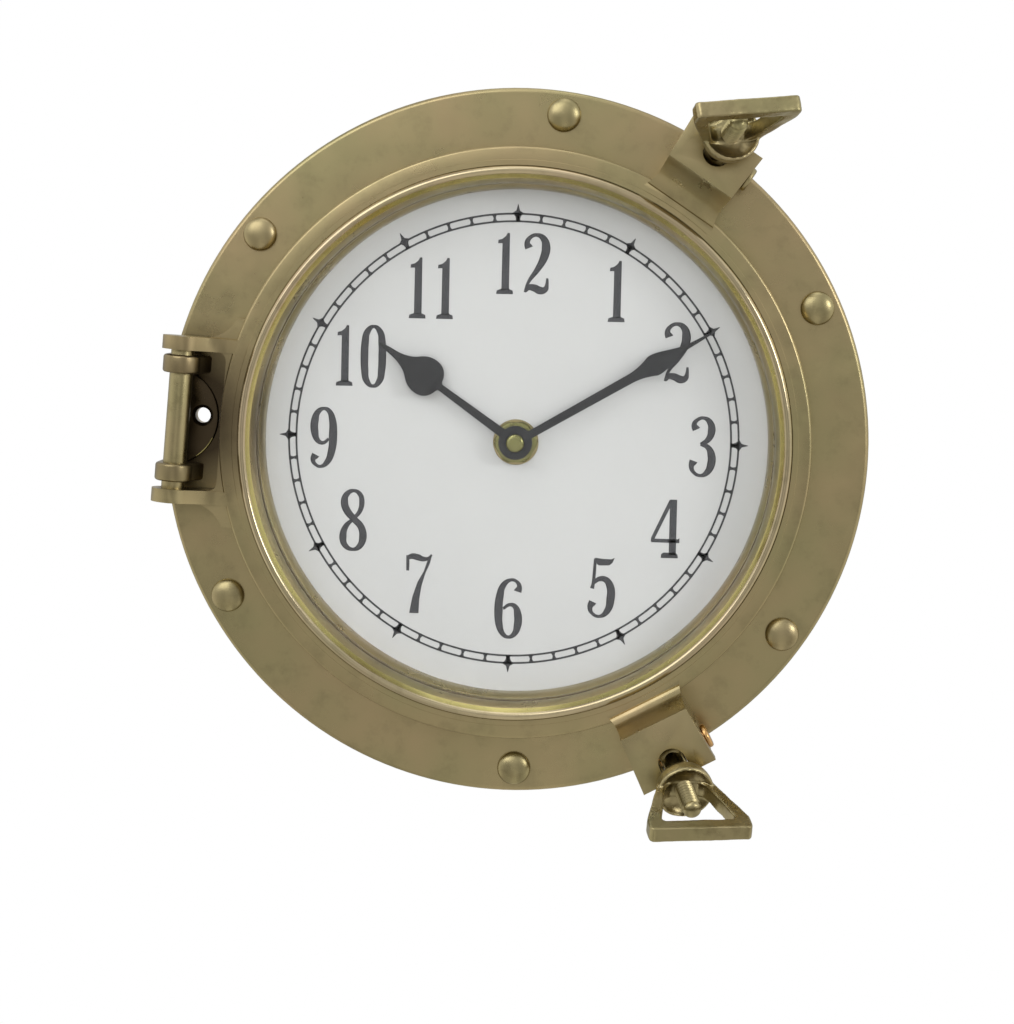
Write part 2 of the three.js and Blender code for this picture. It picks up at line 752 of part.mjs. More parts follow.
// The loop nut: a flared collar, two arms that spread and a straight bar to turn it by.
function dogNut(which) {
  const top = nutLength;
  const window = top - nutBarThickness;
  const outline = new THREE.Shape();
  outline.moveTo(-nutCollarRadius + 1, 3);
  outline.lineTo(nutCollarRadius - 1, 3);
  outline.quadraticCurveTo(nutWaistHalf, 6, nutWaistHalf + 1, nutCollarHeight);
  outline.lineTo(nutBarHalf, window - 1);
  outline.lineTo(nutBarHalf, top - 1);
  outline.lineTo(nutBarHalf - 1, top);
  outline.lineTo(-nutBarHalf + 1, top);
  outline.lineTo(-nutBarHalf, top - 1);
  outline.lineTo(-nutBarHalf, window - 1);
  outline.lineTo(-nutWaistHalf - 1, nutCollarHeight);
  outline.quadraticCurveTo(-nutWaistHalf, 6, -nutCollarRadius + 1, 3);
  const hole = new THREE.Path();
  const foot = nutCollarHeight;
  const wide = nutBarHalf - nutArmWidth;
  hole.moveTo(-nutWindowFoot, foot);
  hole.lineTo(nutWindowFoot, foot);
  hole.quadraticCurveTo(nutWindowFoot + 1.6, foot + 0.6, nutWindowFoot + 2.2, foot + 2.4);
  hole.lineTo(wide, window - 1.6);
  hole.quadraticCurveTo(wide, window, wide - 1.6, window);
  hole.lineTo(-wide + 1.6, window);
  hole.quadraticCurveTo(-wide, window, -wide, window - 1.6);
  hole.lineTo(-nutWindowFoot - 2.2, foot + 2.4);
  hole.quadraticCurveTo(-nutWindowFoot - 1.6, foot + 0.6, -nutWindowFoot, foot);
  outline.holes.push(hole);
  const loop = plate(outline, -nutPlateThickness / 2, nutPlateThickness / 2, 4);
  // Stand the loop on the bolt: its height becomes +Z and its bar runs along Y.
  loop.rotateX(Math.PI / 2).rotateZ(Math.PI / 2);
  const waist = nutFlangeThickness + 3;
  const collar = turned(
    [
      [0, 0],
      [nutCollarRadius, 0],
      [nutCollarRadius, nutFlangeThickness],
      ...arc(nutCollarRadius, waist, nutFlare, 240, 180, 2),
      [nutCollarRadius - nutFlare + 0.2, nutCollarHeight - 0.6],
      [0, nutCollarHeight - 0.6],
    ],
    roundSides,
  );
  const bore = bar(boltRadius + runningGap, -1, nutCollarHeight + 1);
  return named("dog_nut_" + which, cut(join(loop, collar), bore), antiqueBrass);
}

// A swing bolt and its nut, standing on the flange and leaning out.
function dog(which) {
  const nut = dogNut(which);
  nut.rotation.z = radians(nutTurns[which]);
  nut.position.z = nutSeat;
  const lean = new THREE.Group();
  lean.add(dogBolt(which), nut);
  lean.rotation.y = radians(dogTilts[which]);
  lean.position.set(pivotRadius, 0, pivotLevel);
  const station = new THREE.Group();
  station.add(lean);
  station.rotation.z = radians(dogAngles[which]);
  return station;
}

// The dial.

function dialFace() {
  const disc = bar(dialRadius, dialBack, dialFront, discSides);
  return named("dial_face", cut(disc, ...boardHoles(bushRadius + 2 * runningGap)), dialWhite);
}

function dialBoard() {
  const disc = bar(dialRadius, boardBack, boardFront, discSides);
  return named("dial_board", cut(disc, ...boardHoles(bushRadius + 2 * runningGap)), boardBrown);
}

// The holes through the dial and its board, for the movement and the four screws.
function boardHoles(middleRadius) {
  const screws = boardScrewAngles.map((angle) => {
    const [x, y] = polar(boardScrewCircle, angle);
    return bar(boardScrewRadius + runningGap, 0, beyond, tinySides, x, y);
  });
  return [bar(middleRadius, 0, beyond), ...screws];
}

function boardScrew(index) {
  const [x, y] = polar(boardScrewCircle, boardScrewAngles[index]);
  const seat = boardBack - 0.1;
  const profile = [
    [0, seat - 1.4],
    [boardScrewHeadRadius - 0.5, seat - 1.4],
    [boardScrewHeadRadius, seat - 0.8],
    [boardScrewHeadRadius, seat],
    [boardScrewRadius, seat],
    [boardScrewRadius, lipBack + 3],
    [0, lipBack + 3],
  ];
  const screw = turned(profile, tinySides).translate(x, y, 0);
  return named("board_screw_" + (index + 1), screw, steel);
}

function dialWasher() {
  const low = dialFront + 0.1;
  const high = low + dialWasherThickness;
  const washer = ring(dialWasherRadius, bushRadius + runningGap, low, high, roundSides);
  return named("dial_washer", washer, polishedBrass);
}

function dialNut() {
  const low = dialFront + dialWasherThickness + 0.2;
  const across = dialNutAcross / 2;
  const hexagon = bar(across / Math.cos(Math.PI / 6), low, low + dialNutThickness, 6);
  const rounded = common(hexagon, bar(across + 0.45, 0, beyond, 36));
  const bore = bar(bushRadius + runningGap, 0, beyond);
  return named("dial_nut", cut(rounded, bore), polishedBrass);
}

// The movement.

const movementFront = dialFront + dialWasherThickness + dialNutThickness;
const bushTop = movementFront + 0.5;
const hourHandLevel = bushTop + 0.4;
const minuteHandLevel = hourHandLevel + handThickness + handGap;
const arborTop = minuteHandLevel + handThickness + 0.2;

// The wheels' levels, from the back of the movement to its front.
const wheelLevel = (step) => coverFront + firstLevel + levelStep * step;

function step(from, distance, degrees) {
  const [x, y] = polar(distance, degrees);
  return [from[0] + x, from[1] + y];
}

const centrePlace = [0, 0];
const meshDistance = (module, a, b) => (module * (a + b)) / 2;
const thirdPlace = step(
  centrePlace, meshDistance(trainModule, toothCounts.centre, toothCounts.thirdPinion), trainAngles.third,
);
const fourthPlace = step(
  thirdPlace, meshDistance(trainModule, toothCounts.third, toothCounts.fourthPinion), trainAngles.fourth,
);
const fifthPlace = step(
  fourthPlace, meshDistance(trainModule, toothCounts.fourth, toothCounts.fifthPinion), trainAngles.fifth,
);
const rotorPlace = step(
  fifthPlace, meshDistance(fastModule, toothCounts.fifth, toothCounts.rotorPinion), trainAngles.rotor,
);
const motionPlace = step(centrePlace, motionDistance, trainAngles.motion);
const hourModule = (2 * motionDistance) / (toothCounts.hour + toothCounts.motionPinion);

// The angle of a tooth of the driven wheel, so that it meshes with the driver's.
function meshPhase(driverTeeth, driverPhase, drivenTeeth, direction) {
  const driverArc = radians(driverPhase - direction) * driverTeeth;
  const drivenArc = (driverArc + Math.PI) / drivenTeeth;
  return direction + 180 - THREE.MathUtils.radToDeg(drivenArc);
}

const phases = {};
phases.centre = 0;
phases.thirdPinion = meshPhase(
  toothCounts.centre, phases.centre, toothCounts.thirdPinion, trainAngles.third,
);
phases.third = 0;
phases.fourthPinion = meshPhase(
  toothCounts.third, phases.third, toothCounts.fourthPinion, trainAngles.fourth,
);
phases.fourth = 0;
phases.fifthPinion = meshPhase(
  toothCounts.fourth, phases.fourth, toothCounts.fifthPinion, trainAngles.fifth,
);
phases.fifth = 0;
phases.rotorPinion = meshPhase(
  toothCounts.fifth, phases.fifth, toothCounts.rotorPinion, trainAngles.rotor,
);
phases.cannon = 0;
phases.motion = meshPhase(toothCounts.cannon, phases.cannon, toothCounts.motion, trainAngles.motion);
phases.hour = 0;
phases.motionPinion = meshPhase(
  toothCounts.hour, phases.hour, toothCounts.motionPinion, trainAngles.motion,
);

// A toothed wheel about Z: fine pointed teeth with room between their roots.
function toothed(count, module, phase, low, high) {
  const pitch = (module * count) / 2;
  const root = pitch - toothRoot * module;
  const tip = pitch + toothTip * module;
  const points = [];
  for (let i = 0; i < count; i++) {
    const middle = phase + (360 * i) / count;
    const rootHalf = (0.25 * 360) / count;
    points.push(polar(root, middle - rootHalf));
    points.push(polar(tip, middle));
    points.push(polar(root, middle + rootHalf));
  }
  return plate(shapeOf(points), low, high);
}

// An arbor with its pivots, and the wheel and pinion on it.
function arbor(radius, low, high) {
  const pivot = 0.9;
  const shoulder = radius - 0.15;
  return turned(
    [
      [0, low],
      [shoulder, low],
      [shoulder, low + pivot],
      [radius, low + pivot],
      [radius, high - pivot],
      [shoulder, high - pivot],
      [shoulder, high],
      [0, high],
    ],
    tinySides,
  );
}

const arborLow = coverFront - 0.8;
const arborHigh = caseInnerFront + 0.8;

function trainWheel(name, place, wheel, pinion, material) {
  const geometry = join(arbor(arborRadius, arborLow, arborHigh), wheel, pinion);
  return named(name, geometry.translate(place[0], place[1], 0), material);
}

function fifthWheel() {
  const level = wheelLevel(0);
  return trainWheel(
    "fifth_wheel",
    fifthPlace,
    toothed(toothCounts.fifth, fastModule, phases.fifth, level, level + wheelThickness),
    toothed(toothCounts.fifthPinion, trainModule, phases.fifthPinion, level, level + pinionLength),
    whitePlastic,
  );
}

function fourthWheel() {
  const level = wheelLevel(1);
  return trainWheel(
    "fourth_wheel",
    fourthPlace,
    toothed(toothCounts.fourth, trainModule, phases.fourth, level, level + wheelThickness),
    toothed(toothCounts.fourthPinion, trainModule, phases.fourthPinion, level, level + pinionLength),
    whitePlastic,
  );
}

function thirdWheel() {
  const level = wheelLevel(2);
  return trainWheel(
    "third_wheel",
    thirdPlace,
    toothed(toothCounts.third, trainModule, phases.third, level, level + wheelThickness),
    toothed(toothCounts.thirdPinion, trainModule, phases.thirdPinion, level, level + pinionLength),
    whitePlastic,
  );
}

// The centre wheel rides on the minute arbor, which it turns by friction.
function centreWheel() {
  const level = wheelLevel(3);
  const wheel = toothed(toothCounts.centre, trainModule, phases.centre, level, level + wheelThickness);
  const boss = bar(2, level - 0.9, level + wheelThickness);
  const bore = bar(minuteArborRadius + runningGap, 0, beyond, smallSides);
  return named("centre_wheel", cut(join(wheel, boss), bore), whitePlastic);
}

// The magnet rotor, with its pinion.
function rotor() {
  const low = wheelLevel(0) - 0.4;
  const pinion = toothed(toothCounts.rotorPinion, fastModule, phases.rotorPinion, low, low + 1.6);
  const magnet = bar(magnetRadius, low + 2.6, low + 5.2);
  const geometry = join(arbor(arborRadius, arborLow, arborHigh), pinion, magnet);
  return named("rotor", geometry.translate(rotorPlace[0], rotorPlace[1], 0), steel);
}

// The minute arbor carries the cannon pinion; the minute hand sits on its end.
function minuteArbor() {
  const level = wheelLevel(4);
  const shaft = bar(minuteArborRadius, arborLow, arborTop + capNutHeight - 0.6, smallSides);
  const cannon = toothed(
    toothCounts.cannon, motionModule, phases.cannon, level - 0.4, level + wheelThickness + 0.4,
  );
  return named("minute_arbor", join(shaft, cannon), steel);
}

// The motion wheel, whose arbor carries the setting knob behind the movement.
function motionWheel() {
  const level = wheelLevel(4);
  const wheel = toothed(toothCounts.motion, motionModule, phases.motion, level, level + wheelThickness);
  const pinion = toothed(
    toothCounts.motionPinion, hourModule, phases.motionPinion, level, level + pinionLength,
  );
  const shaft = bar(minuteArborRadius, caseBack - 1, arborHigh, smallSides);
  const geometry = join(shaft, wheel, pinion);
  return named(
    "motion_wheel", geometry.translate(motionPlace[0], motionPlace[1], 0), whitePlastic,
  );
}

function settingKnob() {
  const grips = 12;
  const points = [];
  for (let i = 0; i < grips; i++) {
    points.push(polar(knobRadius, (360 * (i - 0.25)) / grips));
    points.push(polar(knobRadius, (360 * (i + 0.1)) / grips));
    points.push(polar(knobRadius - 0.5, (360 * (i + 0.4)) / grips));
  }
  const knob = plate(shapeOf(points), caseBack - 3.6, caseBack - 0.4);
  const bore = bar(minuteArborRadius + fitGap, caseBack - 1.2, beyond, smallSides);
  const [x, y] = motionPlace;
  return named("setting_knob", cut(knob, bore).translate(x, y, 0), blackPlastic);
}

// The hour wheel and its pipe, which runs through the bush to the hour hand.
function hourWheel() {
  const level = wheelLevel(5);
  const wheel = toothed(toothCounts.hour, hourModule, phases.hour, level, level + wheelThickness);
  const pipe = bar(hourPipeRadius, level, hourHandLevel + handThickness);
  const bore = bar(hourPipeBore, 0, beyond, smallSides);
  return named("hour_wheel", cut(join(wheel, pipe), bore), blackPlastic);
}

// The holes that the train's pivots turn in, in a plate whose inner face is at a level.
function pivotHoles(level) {
  return [thirdPlace, fourthPlace, fifthPlace, rotorPlace].map(([x, y]) =>
    bar(arborRadius - fitGap, level - 1, level + 1, tinySides, x, y),
  );
}

function motionShaftHole(low, high) {
  const [x, y] = motionPlace;
  return bar(minuteArborRadius + runningGap, low, high, smallSides, x, y);
}

// The case: front plate, walls, battery bay and the threaded bush.
function movementCase() {
  const inner = caseInside;
  const open = caseBack - 1;
  const step = inner + 0.6;
  const body = block(-caseHalf, caseHalf, -caseHalf, caseHalf, caseBack, caseFront);
  const wheelRoom = block(-inner, inner, bayWallTop, inner, open, caseInnerFront);
  const bay = block(-inner, inner, -inner, bayWallTop - bayWall, open, caseInnerFront);
  const rebate = block(-step, step, bayWallTop - 0.7 * bayWall, step, open, coverFront + 0.2);
  const bush = bar(bushRadius, caseFront - 1, bushTop);
  const bushBore = bar(hourPipeRadius + runningGap, open, beyond);
  const pivots = pivotHoles(caseInnerFront);
  const shaftHole = motionShaftHole(coverFront, caseInnerFront + 1);
  return named(
    "movement_case",
    cut(join(body, bush), wheelRoom, bay, rebate, bushBore, ...pivots, shaftHole),
    blackPlastic,
  );
}

// The back plate over the wheels; the battery bay below it stays open.
function movementCover() {
  const reach = caseInside + 0.4;
  const low = bayWallTop - 0.5 * bayWall;
  const body = block(-reach, reach, low, reach, caseBack, coverFront);
  const shaftHole = motionShaftHole(0, beyond);
  const middle = bar(minuteArborRadius + runningGap, coverFront - 1, beyond, smallSides);
  const holes = [...pivotHoles(coverFront), shaftHole, middle];
  return named("movement_cover", cut(body, ...holes), blackPlastic);
}

function movementGasket() {
  const high = gasketBack + gasketThickness;
  const gasket = ring(gasketRadius, bushRadius + 2 * runningGap, gasketBack, high, roundSides);
  return named("movement_gasket", gasket, blackRubber);
}

// The step motor: a stator round the rotor's magnet and a coil on its long leg.
const motorLevel = wheelLevel(0) + 2;
const motorTop = motorLevel + statorThickness;

function stator() {
  const [x, y] = rotorPlace;
  const holeRadius = magnetRadius + 0.4;
  const low = motorLevel;
  const left = coilPlace - statorHalf;
  const right = coilPlace + statorHalf;
  const yoke = block(coilPlace, x + holeRadius, y + 0.2, y + 4.8, low, motorTop);
  const head = bar(holeRadius + 1.2, low, motorTop, roundSides, x, y);
  const leg = block(left, right, y - 12, y + 4.8, low, motorTop);
  const hole = bar(holeRadius, 0, beyond, roundSides, x, y);
  const within = block(-beyond, beyond, -beyond, caseInside - 0.5, 0, beyond);
  const trimmed = common(join(yoke, head, leg), within);
  return named("stator", cut(trimmed, hole), steel);
}

function motorCoil() {
  const [, y] = rotorPlace;
  const middle = (motorLevel + motorTop) / 2;
  const wound = crossBar(coilRadius, y - 10.5, y - 0.6, coilPlace, middle, smallSides);
  const gap = runningGap;
  const left = coilPlace - statorHalf - gap;
  const right = coilPlace + statorHalf + gap;
  const leg = block(left, right, -beyond, beyond, motorLevel - gap, motorTop + gap);
  return named("motor_coil", cut(wound, leg), copperWire);
}

// The circuit board under the coil and the crystal that keeps the time.
function circuitBoard() {
  const low = coverFront + 0.2;
  const edge = caseInside - 0.5;
  return named("circuit_board", block(-edge, -18.2, 2, edge, low, low + 0.8), boardGreen);
}

function quartzCrystal() {
  const low = coverFront + 1.1;
  const crystal = crossBar(1, 12, 18, 3.5 - caseInside, low + 1, smallSides);
  return named("quartz_crystal", crystal, steel);
}

const batteryUp = (bayWallTop - bayWall - caseInside) / 2;
const batteryLevel = caseInnerFront - batteryRadius - 0.2;

function battery() {
  const half = batteryLength / 2;
  const cell = turned(
    [
      [0, -half],
      [batteryRadius - 0.5, -half],
      [batteryRadius, -half + 0.5],
      [batteryRadius, half - 1.5],
      [batteryRadius - 0.5, half - 1],
      [2.7, half - 1],
      [2.7, half],
      [0, half],
    ],
    roundSides,
  );
  cell.rotateY(Math.PI / 2).translate(0, batteryUp, batteryLevel);
  return named("battery", cell, batteryGrey);
}

// The folded spring contact at one end of the battery.
function batteryContact(side) {
  const near = batteryLength / 2 + 0.2;
  const far = caseInside - 0.1;
  const shape = shapeOf([
    [far, -5],
    [far, 5],
    [far - 0.4, 5],
    [near + 0.4, 1.2],
    [near, 0],
    [near + 0.4, -1.2],
    [far - 0.4, -5],
  ]);
  const strip = slab(shape, 0, 8);
  if (side < 0) strip.rotateZ(Math.PI);
  strip.translate(0, batteryUp, batteryLevel);
  return named(side < 0 ? "contact_negative" : "contact_positive", strip, steel);
}

// The hands, drawn upright from the hub and turned to the time on the dial.

function minuteHandShape() {
  const shape = new THREE.Shape();
  const tip = minuteHandLength;
  const half = [
    ["line", 1.2, 6],
    ["line", 1.45, tip - 27.9],
    ["curve", 1.9, tip - 23.9, 3.4, tip - 20.4],
    ["curve", 2.2, tip - 15.4, 0.75, tip - 9.9],
    ["line", 0.35, tip],
  ];
  return handShape(shape, half, 1.2);
}

function hourHandShape() {
  const shape = new THREE.Shape();
  const tip = hourHandLength;
  const half = [
    ["line", 1.45, 6],
    ["line", 1.05, tip - 23.3],
    ["cubic", 3.4, tip - 23, 6, tip - 20.9, 6, tip - 17.7],
    ["cubic", 6, tip - 12.9, 1.5, tip - 11.4, 0.9, tip - 4.4],
    ["line", 0.25, tip],
  ];
  return handShape(shape, half, 1.45);
}

// A hand's outline from one half of it, run up one side and back down the other.
function handShape(shape, half, start) {
  shape.moveTo(start, 0);
  for (const [kind, ...p] of half) {
    if (kind === "line") shape.lineTo(p[0], p[1]);
    if (kind === "curve") shape.quadraticCurveTo(...p);
    if (kind === "cubic") shape.bezierCurveTo(...p);
  }
  const up = shape.getPoints(5);
  const down = up.slice().reverse().map((point) => new THREE.Vector2(-point.x, point.y));
  return new THREE.Shape(up.concat(down));
}

function hand(name, shape, level, degrees, boreRadius) {
  const blade = plate(shape, level, level + handThickness);
  const hub = bar(handHubRadius, level, level + handThickness, pinSides);
  const bore = bar(boreRadius, 0, beyond);
  return named(name, atAngle(cut(join(blade, hub), bore), -degrees), blackPaint);
}

function capNut() {
  const low = arborTop;
  const profile = [
    [0, low],
    [capNutRadius, low],
    [capNutRadius, low + capNutHeight - 0.5],
    [capNutRadius - 0.6, low + capNutHeight],
    [0, low + capNutHeight],
  ];
  const bore = bar(minuteArborRadius + fitGap, 0, low + capNutHeight - 0.5, smallSides);
  return named("hand_cap_nut", cut(turned(profile, roundSides), bore), polishedBrass);
}

// The two screw holes through the hanger's tabs and the drum's wall.
function hangerHoles() {
  const radius = hangerScrewShank + fitGap;
  const near = hangerReach - 10;
  const far = drumRadius + 6;
  return hangerTabAngles.map((angle) => {
    const hole = new THREE.CylinderGeometry(radius, radius, far - near, smallSides);
    hole.rotateZ(Math.PI / 2).translate((near + far) / 2, 0, hangerScrewLevel);
    return atAngle(hole, angle);
  });
}

// The hanger plate across the top of the drum: a keyhole and two bent tabs.
function hangerPlate() {
  const half = hangerWidth / 2;
  const shape = new THREE.Shape();
  shape.moveTo(-half, hangerBottom + 2);
  shape.lineTo(-half + 2, hangerBottom);
  shape.lineTo(half - 2, hangerBottom);
  shape.lineTo(half, hangerBottom + 2);
  const end = Math.asin(half / hangerReach);
  shape.absarc(0, 0, hangerReach, Math.PI / 2 - end, Math.PI / 2 + end, false);
  const top = hangerLevel + hangerThickness;
  const flat = plate(shape, hangerLevel, top, 10);
  const out = hangerReach - 0.1;
  const across = hangerTabHalf;
  const tabs = hangerTabAngles.map((angle) => {
    const tab = block(out - 3.9, out, -across, across, hangerLevel, hangerTabHeight);
    const hollow = block(0, out - hangerThickness, -beyond, beyond, top, beyond);
    return atAngle(cut(tab, hollow), angle);
  });
  const whole = join(flat, ...tabs);
  const low = hangerBottom + keyholeUp;
  const high = low + keyholeRise;
  const keyhole = join(
    bar(keyholeRadius, -1, top + 1, roundSides, 0, low),
    bar(keyholeSlotRadius, -1, top + 1, roundSides, 0, high),
    block(-keyholeSlotRadius, keyholeSlotRadius, low, high, -1, top + 1),
  );
  return named("hanger_plate", cut(whole, keyhole, ...hangerHoles()), steel);
}

// The hanger's screws, through the drum's wall into the bent tabs.
function hangerScrew(name, angle) {
  const inner = hangerReach - 3;
  const seat = drumRadius + fitGap;
  const profile = [
    [0, inner],
    [hangerScrewShank, inner],
    [hangerScrewShank, seat],
    [hangerScrewHead, seat],
    [hangerScrewHead, seat + 0.8],
    [hangerScrewHead - 0.8, seat + 1.5],
    [0, seat + 1.5],
  ];
  const screw = turned(profile, smallSides).rotateY(Math.PI / 2).translate(0, 0, hangerScrewLevel);
  return named(name, atAngle(screw, angle), steel);
}

// The whole clock.

const clock = new THREE.Group();
clock.add(baseFlange());
rivetAngles.forEach((angle, index) => clock.add(rivet(index)));
clock.add(hingePin(), pivotPin("upper"), pivotPin("lower"));
clock.add(doorRing(), bezelRing(), glassSeal(), doorGlass());
clock.add(dog("upper"), dog("lower"));
clock.add(dialFace(), dialBoard(), dialWasher(), dialNut());
boardScrewAngles.forEach((angle, index) => clock.add(boardScrew(index)));
clock.add(
  hangerPlate(),
  hangerScrew("hanger_screw_right", hangerTabAngles[0]),
  hangerScrew("hanger_screw_left", hangerTabAngles[1]),
);
clock.add(movementCase(), movementCover(), movementGasket());
clock.add(stator(), motorCoil(), circuitBoard(), quartzCrystal());
clock.add(battery(), batteryContact(-1), batteryContact(1));
clock.add(rotor(), fifthWheel(), fourthWheel(), thirdWheel(), centreWheel());
clock.add(minuteArbor(), motionWheel(), settingKnob(), hourWheel());
clock.add(
  hand("hour_hand", hourHandShape(), hourHandLevel, hourHandAngle, hourPipeRadius + 0.1),
  hand(
    "minute_hand", minuteHandShape(), minuteHandLevel, minuteHandAngle, minuteArborRadius + 0.05,
  ),
  capNut(),
);

// Stand it up: the face frame's +Y becomes +Z and its front looks along -Y.
clock.rotation.x = Math.PI / 2;

const part = new THREE.Group();
part.add(clock);
export default part;
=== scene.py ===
# %% [markdown]
# # A porthole wall clock, piece by piece
#
# The clock is a cast brass porthole. A flange with six rivets carries a hinge on its left
# and two swing bolts on its right. A glazed door swings on the hinge, and loop nuts on the
# bolts hold it shut over a white dial.
#
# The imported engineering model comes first, as a fixed frame. Its pieces have the right
# places and sizes, but they are cut with few flat faces. Here the visible pieces are
# modelled again with smooth curves and soft edges, and every piece gets its finish.

# %% Load the fixed frame
import math

import bmesh
import bpy
from mathutils import Matrix, Vector


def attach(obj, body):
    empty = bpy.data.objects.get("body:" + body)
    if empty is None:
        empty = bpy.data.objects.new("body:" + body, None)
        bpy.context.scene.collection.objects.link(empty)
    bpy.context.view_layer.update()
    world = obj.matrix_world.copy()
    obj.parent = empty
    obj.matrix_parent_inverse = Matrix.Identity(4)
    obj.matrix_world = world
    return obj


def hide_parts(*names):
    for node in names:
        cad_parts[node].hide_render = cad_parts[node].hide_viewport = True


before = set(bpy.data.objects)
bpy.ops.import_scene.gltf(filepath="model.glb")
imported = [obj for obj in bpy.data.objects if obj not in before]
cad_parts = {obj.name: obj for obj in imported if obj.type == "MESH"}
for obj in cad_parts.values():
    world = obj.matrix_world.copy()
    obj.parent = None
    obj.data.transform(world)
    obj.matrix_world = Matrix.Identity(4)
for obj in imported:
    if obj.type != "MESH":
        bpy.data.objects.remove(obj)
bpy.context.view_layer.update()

print("nodes:", len(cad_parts))

# %% [markdown]
# ## The camera
#
# The photograph was taken from almost straight ahead, a little right of the clock's axis
# and a little above it, from about 0.8 m. A camera can be placed by eye, but here the
# picture gives a scale: the flange's front face shows 0.3053 mm in each pixel. So the lens
# follows from the distance, and two small angles set the place of the clock in the frame.

# %% Place the camera
PICTURE = (1014, 1024)
PIXEL = 0.0003053
FLANGE_FRONT = -0.033

camera_distance = 0.800
camera_right = math.radians(2.3)
camera_up = math.radians(3.5)
clock_in_picture = (515.0, 443.0)

scene = bpy.context.scene
camera_data = bpy.data.cameras.new("camera")
camera = bpy.data.objects.new("camera", camera_data)
scene.collection.objects.link(camera)
scene.camera = camera

from_clock = Vector((
    math.sin(camera_right) * math.cos(camera_up),
    -math.cos(camera_right) * math.cos(camera_up),
    math.sin(camera_up),
))
clock_centre = Vector((0, FLANGE_FRONT, 0))
camera.location = clock_centre + camera_distance * from_clock
aim = clock_centre + Vector((
    -(clock_in_picture[0] - PICTURE[0] / 2) * PIXEL,
    0,
    (clock_in_picture[1] - PICTURE[1] / 2) * PIXEL,
))
camera.rotation_euler = (aim - camera.location).to_track_quat("-Z", "Y").to_euler()
camera_data.sensor_fit = "HORIZONTAL"
camera_data.sensor_width = 36
camera_data.lens = 36 * camera_distance / (PICTURE[0] * PIXEL)
camera_data.clip_start = 0.01
print("lens", round(camera_data.lens, 1), "mm")

# %% [markdown]
# ## Node trees
#
# The sky and every finish are node trees. Nodes could be added and joined one by one, but
# then each line of arithmetic takes four lines of code. These helpers read like formulas:
# each makes a node, feeds its inputs and hands its output on.

# %% Helpers that fill a node tree


def is_socket(value):
    return isinstance(value, bpy.types.NodeSocket)


class Nodes:
    """Fills an emptied node tree. An input takes a value or another node's output."""

    def __init__(self, tree):
        tree.nodes.clear()
        self.tree = tree

    def feed(self, target, value):
        if is_socket(value):
            self.tree.links.new(value, target)
        else:
            target.default_value = value

    def make(self, kind, inputs=None, **settings):
        node = self.tree.nodes.new("ShaderNode" + kind)
        for key, value in settings.items():
            setattr(node, key, value)
        for key, value in (inputs or {}).items():
            self.feed(node.inputs[key], value)
        return node

    def math(self, operation, *values):
        return self.make("Math", dict(enumerate(values)), operation=operation).outputs[0]

    def vector(self, operation, first, second=(0, 0, 0)):
        return self.make("VectorMath", {0: first, 1: second}, operation=operation).outputs

    def ramp(self, source, low, high, to_low=0.0, to_high=1.0):
        return self.make("MapRange", {
            "Value": source, "From Min": low, "From Max": high, "To Min": to_low, "To Max": to_high,
        }).outputs["Result"]

    def noise(self, place, scale, detail=4.0, roughness=0.55):
        return self.make("TexNoise", {
            "Vector": place, "Scale": scale, "Detail": detail, "Roughness": roughness,
        }).outputs["Fac"]

    def mix(self, factor, first, second):
        """Mix two colours, each a tuple or a socket."""
        first, second = [c if is_socket(c) else (*c, 1) for c in (first, second)]
        node = self.make("Mix", data_type="RGBA")
        for index, value in ((0, factor), (6, first), (7, second)):
            self.feed(node.inputs[index], value)
        return node.outputs[2]

    def mix_shaders(self, factor, first, second):
        return self.make("MixShader", {0: factor, 1: first, 2: second}).outputs[0]


print("node tools ready")

# %% [markdown]
# ## Light and background
#
# The photograph is a studio picture on pure white. A white background could come from
# strong light, but that would wash the brass out. The sky of the scene is told to look
# white to the camera only, and lights the clock at a plain level. Metal shows what is
# around it, so glossy rays see a sky that is brightest above and darker beside the
# camera.
#
# The dial lies deep behind the bezel, yet in the photograph it is bright up to its rim. A
# stronger sky would brighten it all over, and the middle most. So a lamp in front lights
# the dial evenly. Metal would mirror that lamp, so it is hidden from glossy rays.

# %% Light the scene
scene.view_settings.view_transform = "Standard"

GLOSSY_LEVEL = 1.5
DIFFUSE_LEVEL = 0.35
WHITE = (1, 1, 1, 1)
FROM_BELOW = (0.80, 0.78, 0.73, 1)
FROM_AHEAD = (0.62, 0.615, 0.6, 1)
# How bright the sky is at a distance to the side, from 0 behind the camera to 1.
SIDE_LEVELS = ((0.09, 0.69), (0.2, 0.52), (0.3, 0.45), (0.6, 0.55))
BEHIND_CAMERA = 0.7

sky = bpy.data.worlds.new("sky")
scene.world = sky
sky.use_nodes = True
nodes = Nodes(sky.node_tree)
direction = nodes.make("TexCoord").outputs["Generated"]
split = nodes.make("SeparateXYZ", {0: direction})
shades = nodes.make("ValToRGB", {"Fac": nodes.ramp(split.outputs["Z"], -0.55, 0.6)})
shades.color_ramp.elements[0].color = FROM_BELOW
shades.color_ramp.elements[1].color = WHITE
shades.color_ramp.elements.new(0.5).color = FROM_AHEAD
sides = nodes.make("FloatCurve", {"Value": nodes.math("ABSOLUTE", split.outputs["X"])})
side_points = sides.mapping.curves[0].points
side_points[0].location = (0, BEHIND_CAMERA)
for place, brightness in SIDE_LEVELS:
    side_points.new(place, brightness)
sides.mapping.update()
glossy = nodes.make("Background", {
    "Color": shades.outputs["Color"],
    "Strength": nodes.math("MULTIPLY", sides.outputs[0], GLOSSY_LEVEL),
}).outputs[0]
even = nodes.make("Background", {"Color": WHITE, "Strength": DIFFUSE_LEVEL}).outputs[0]
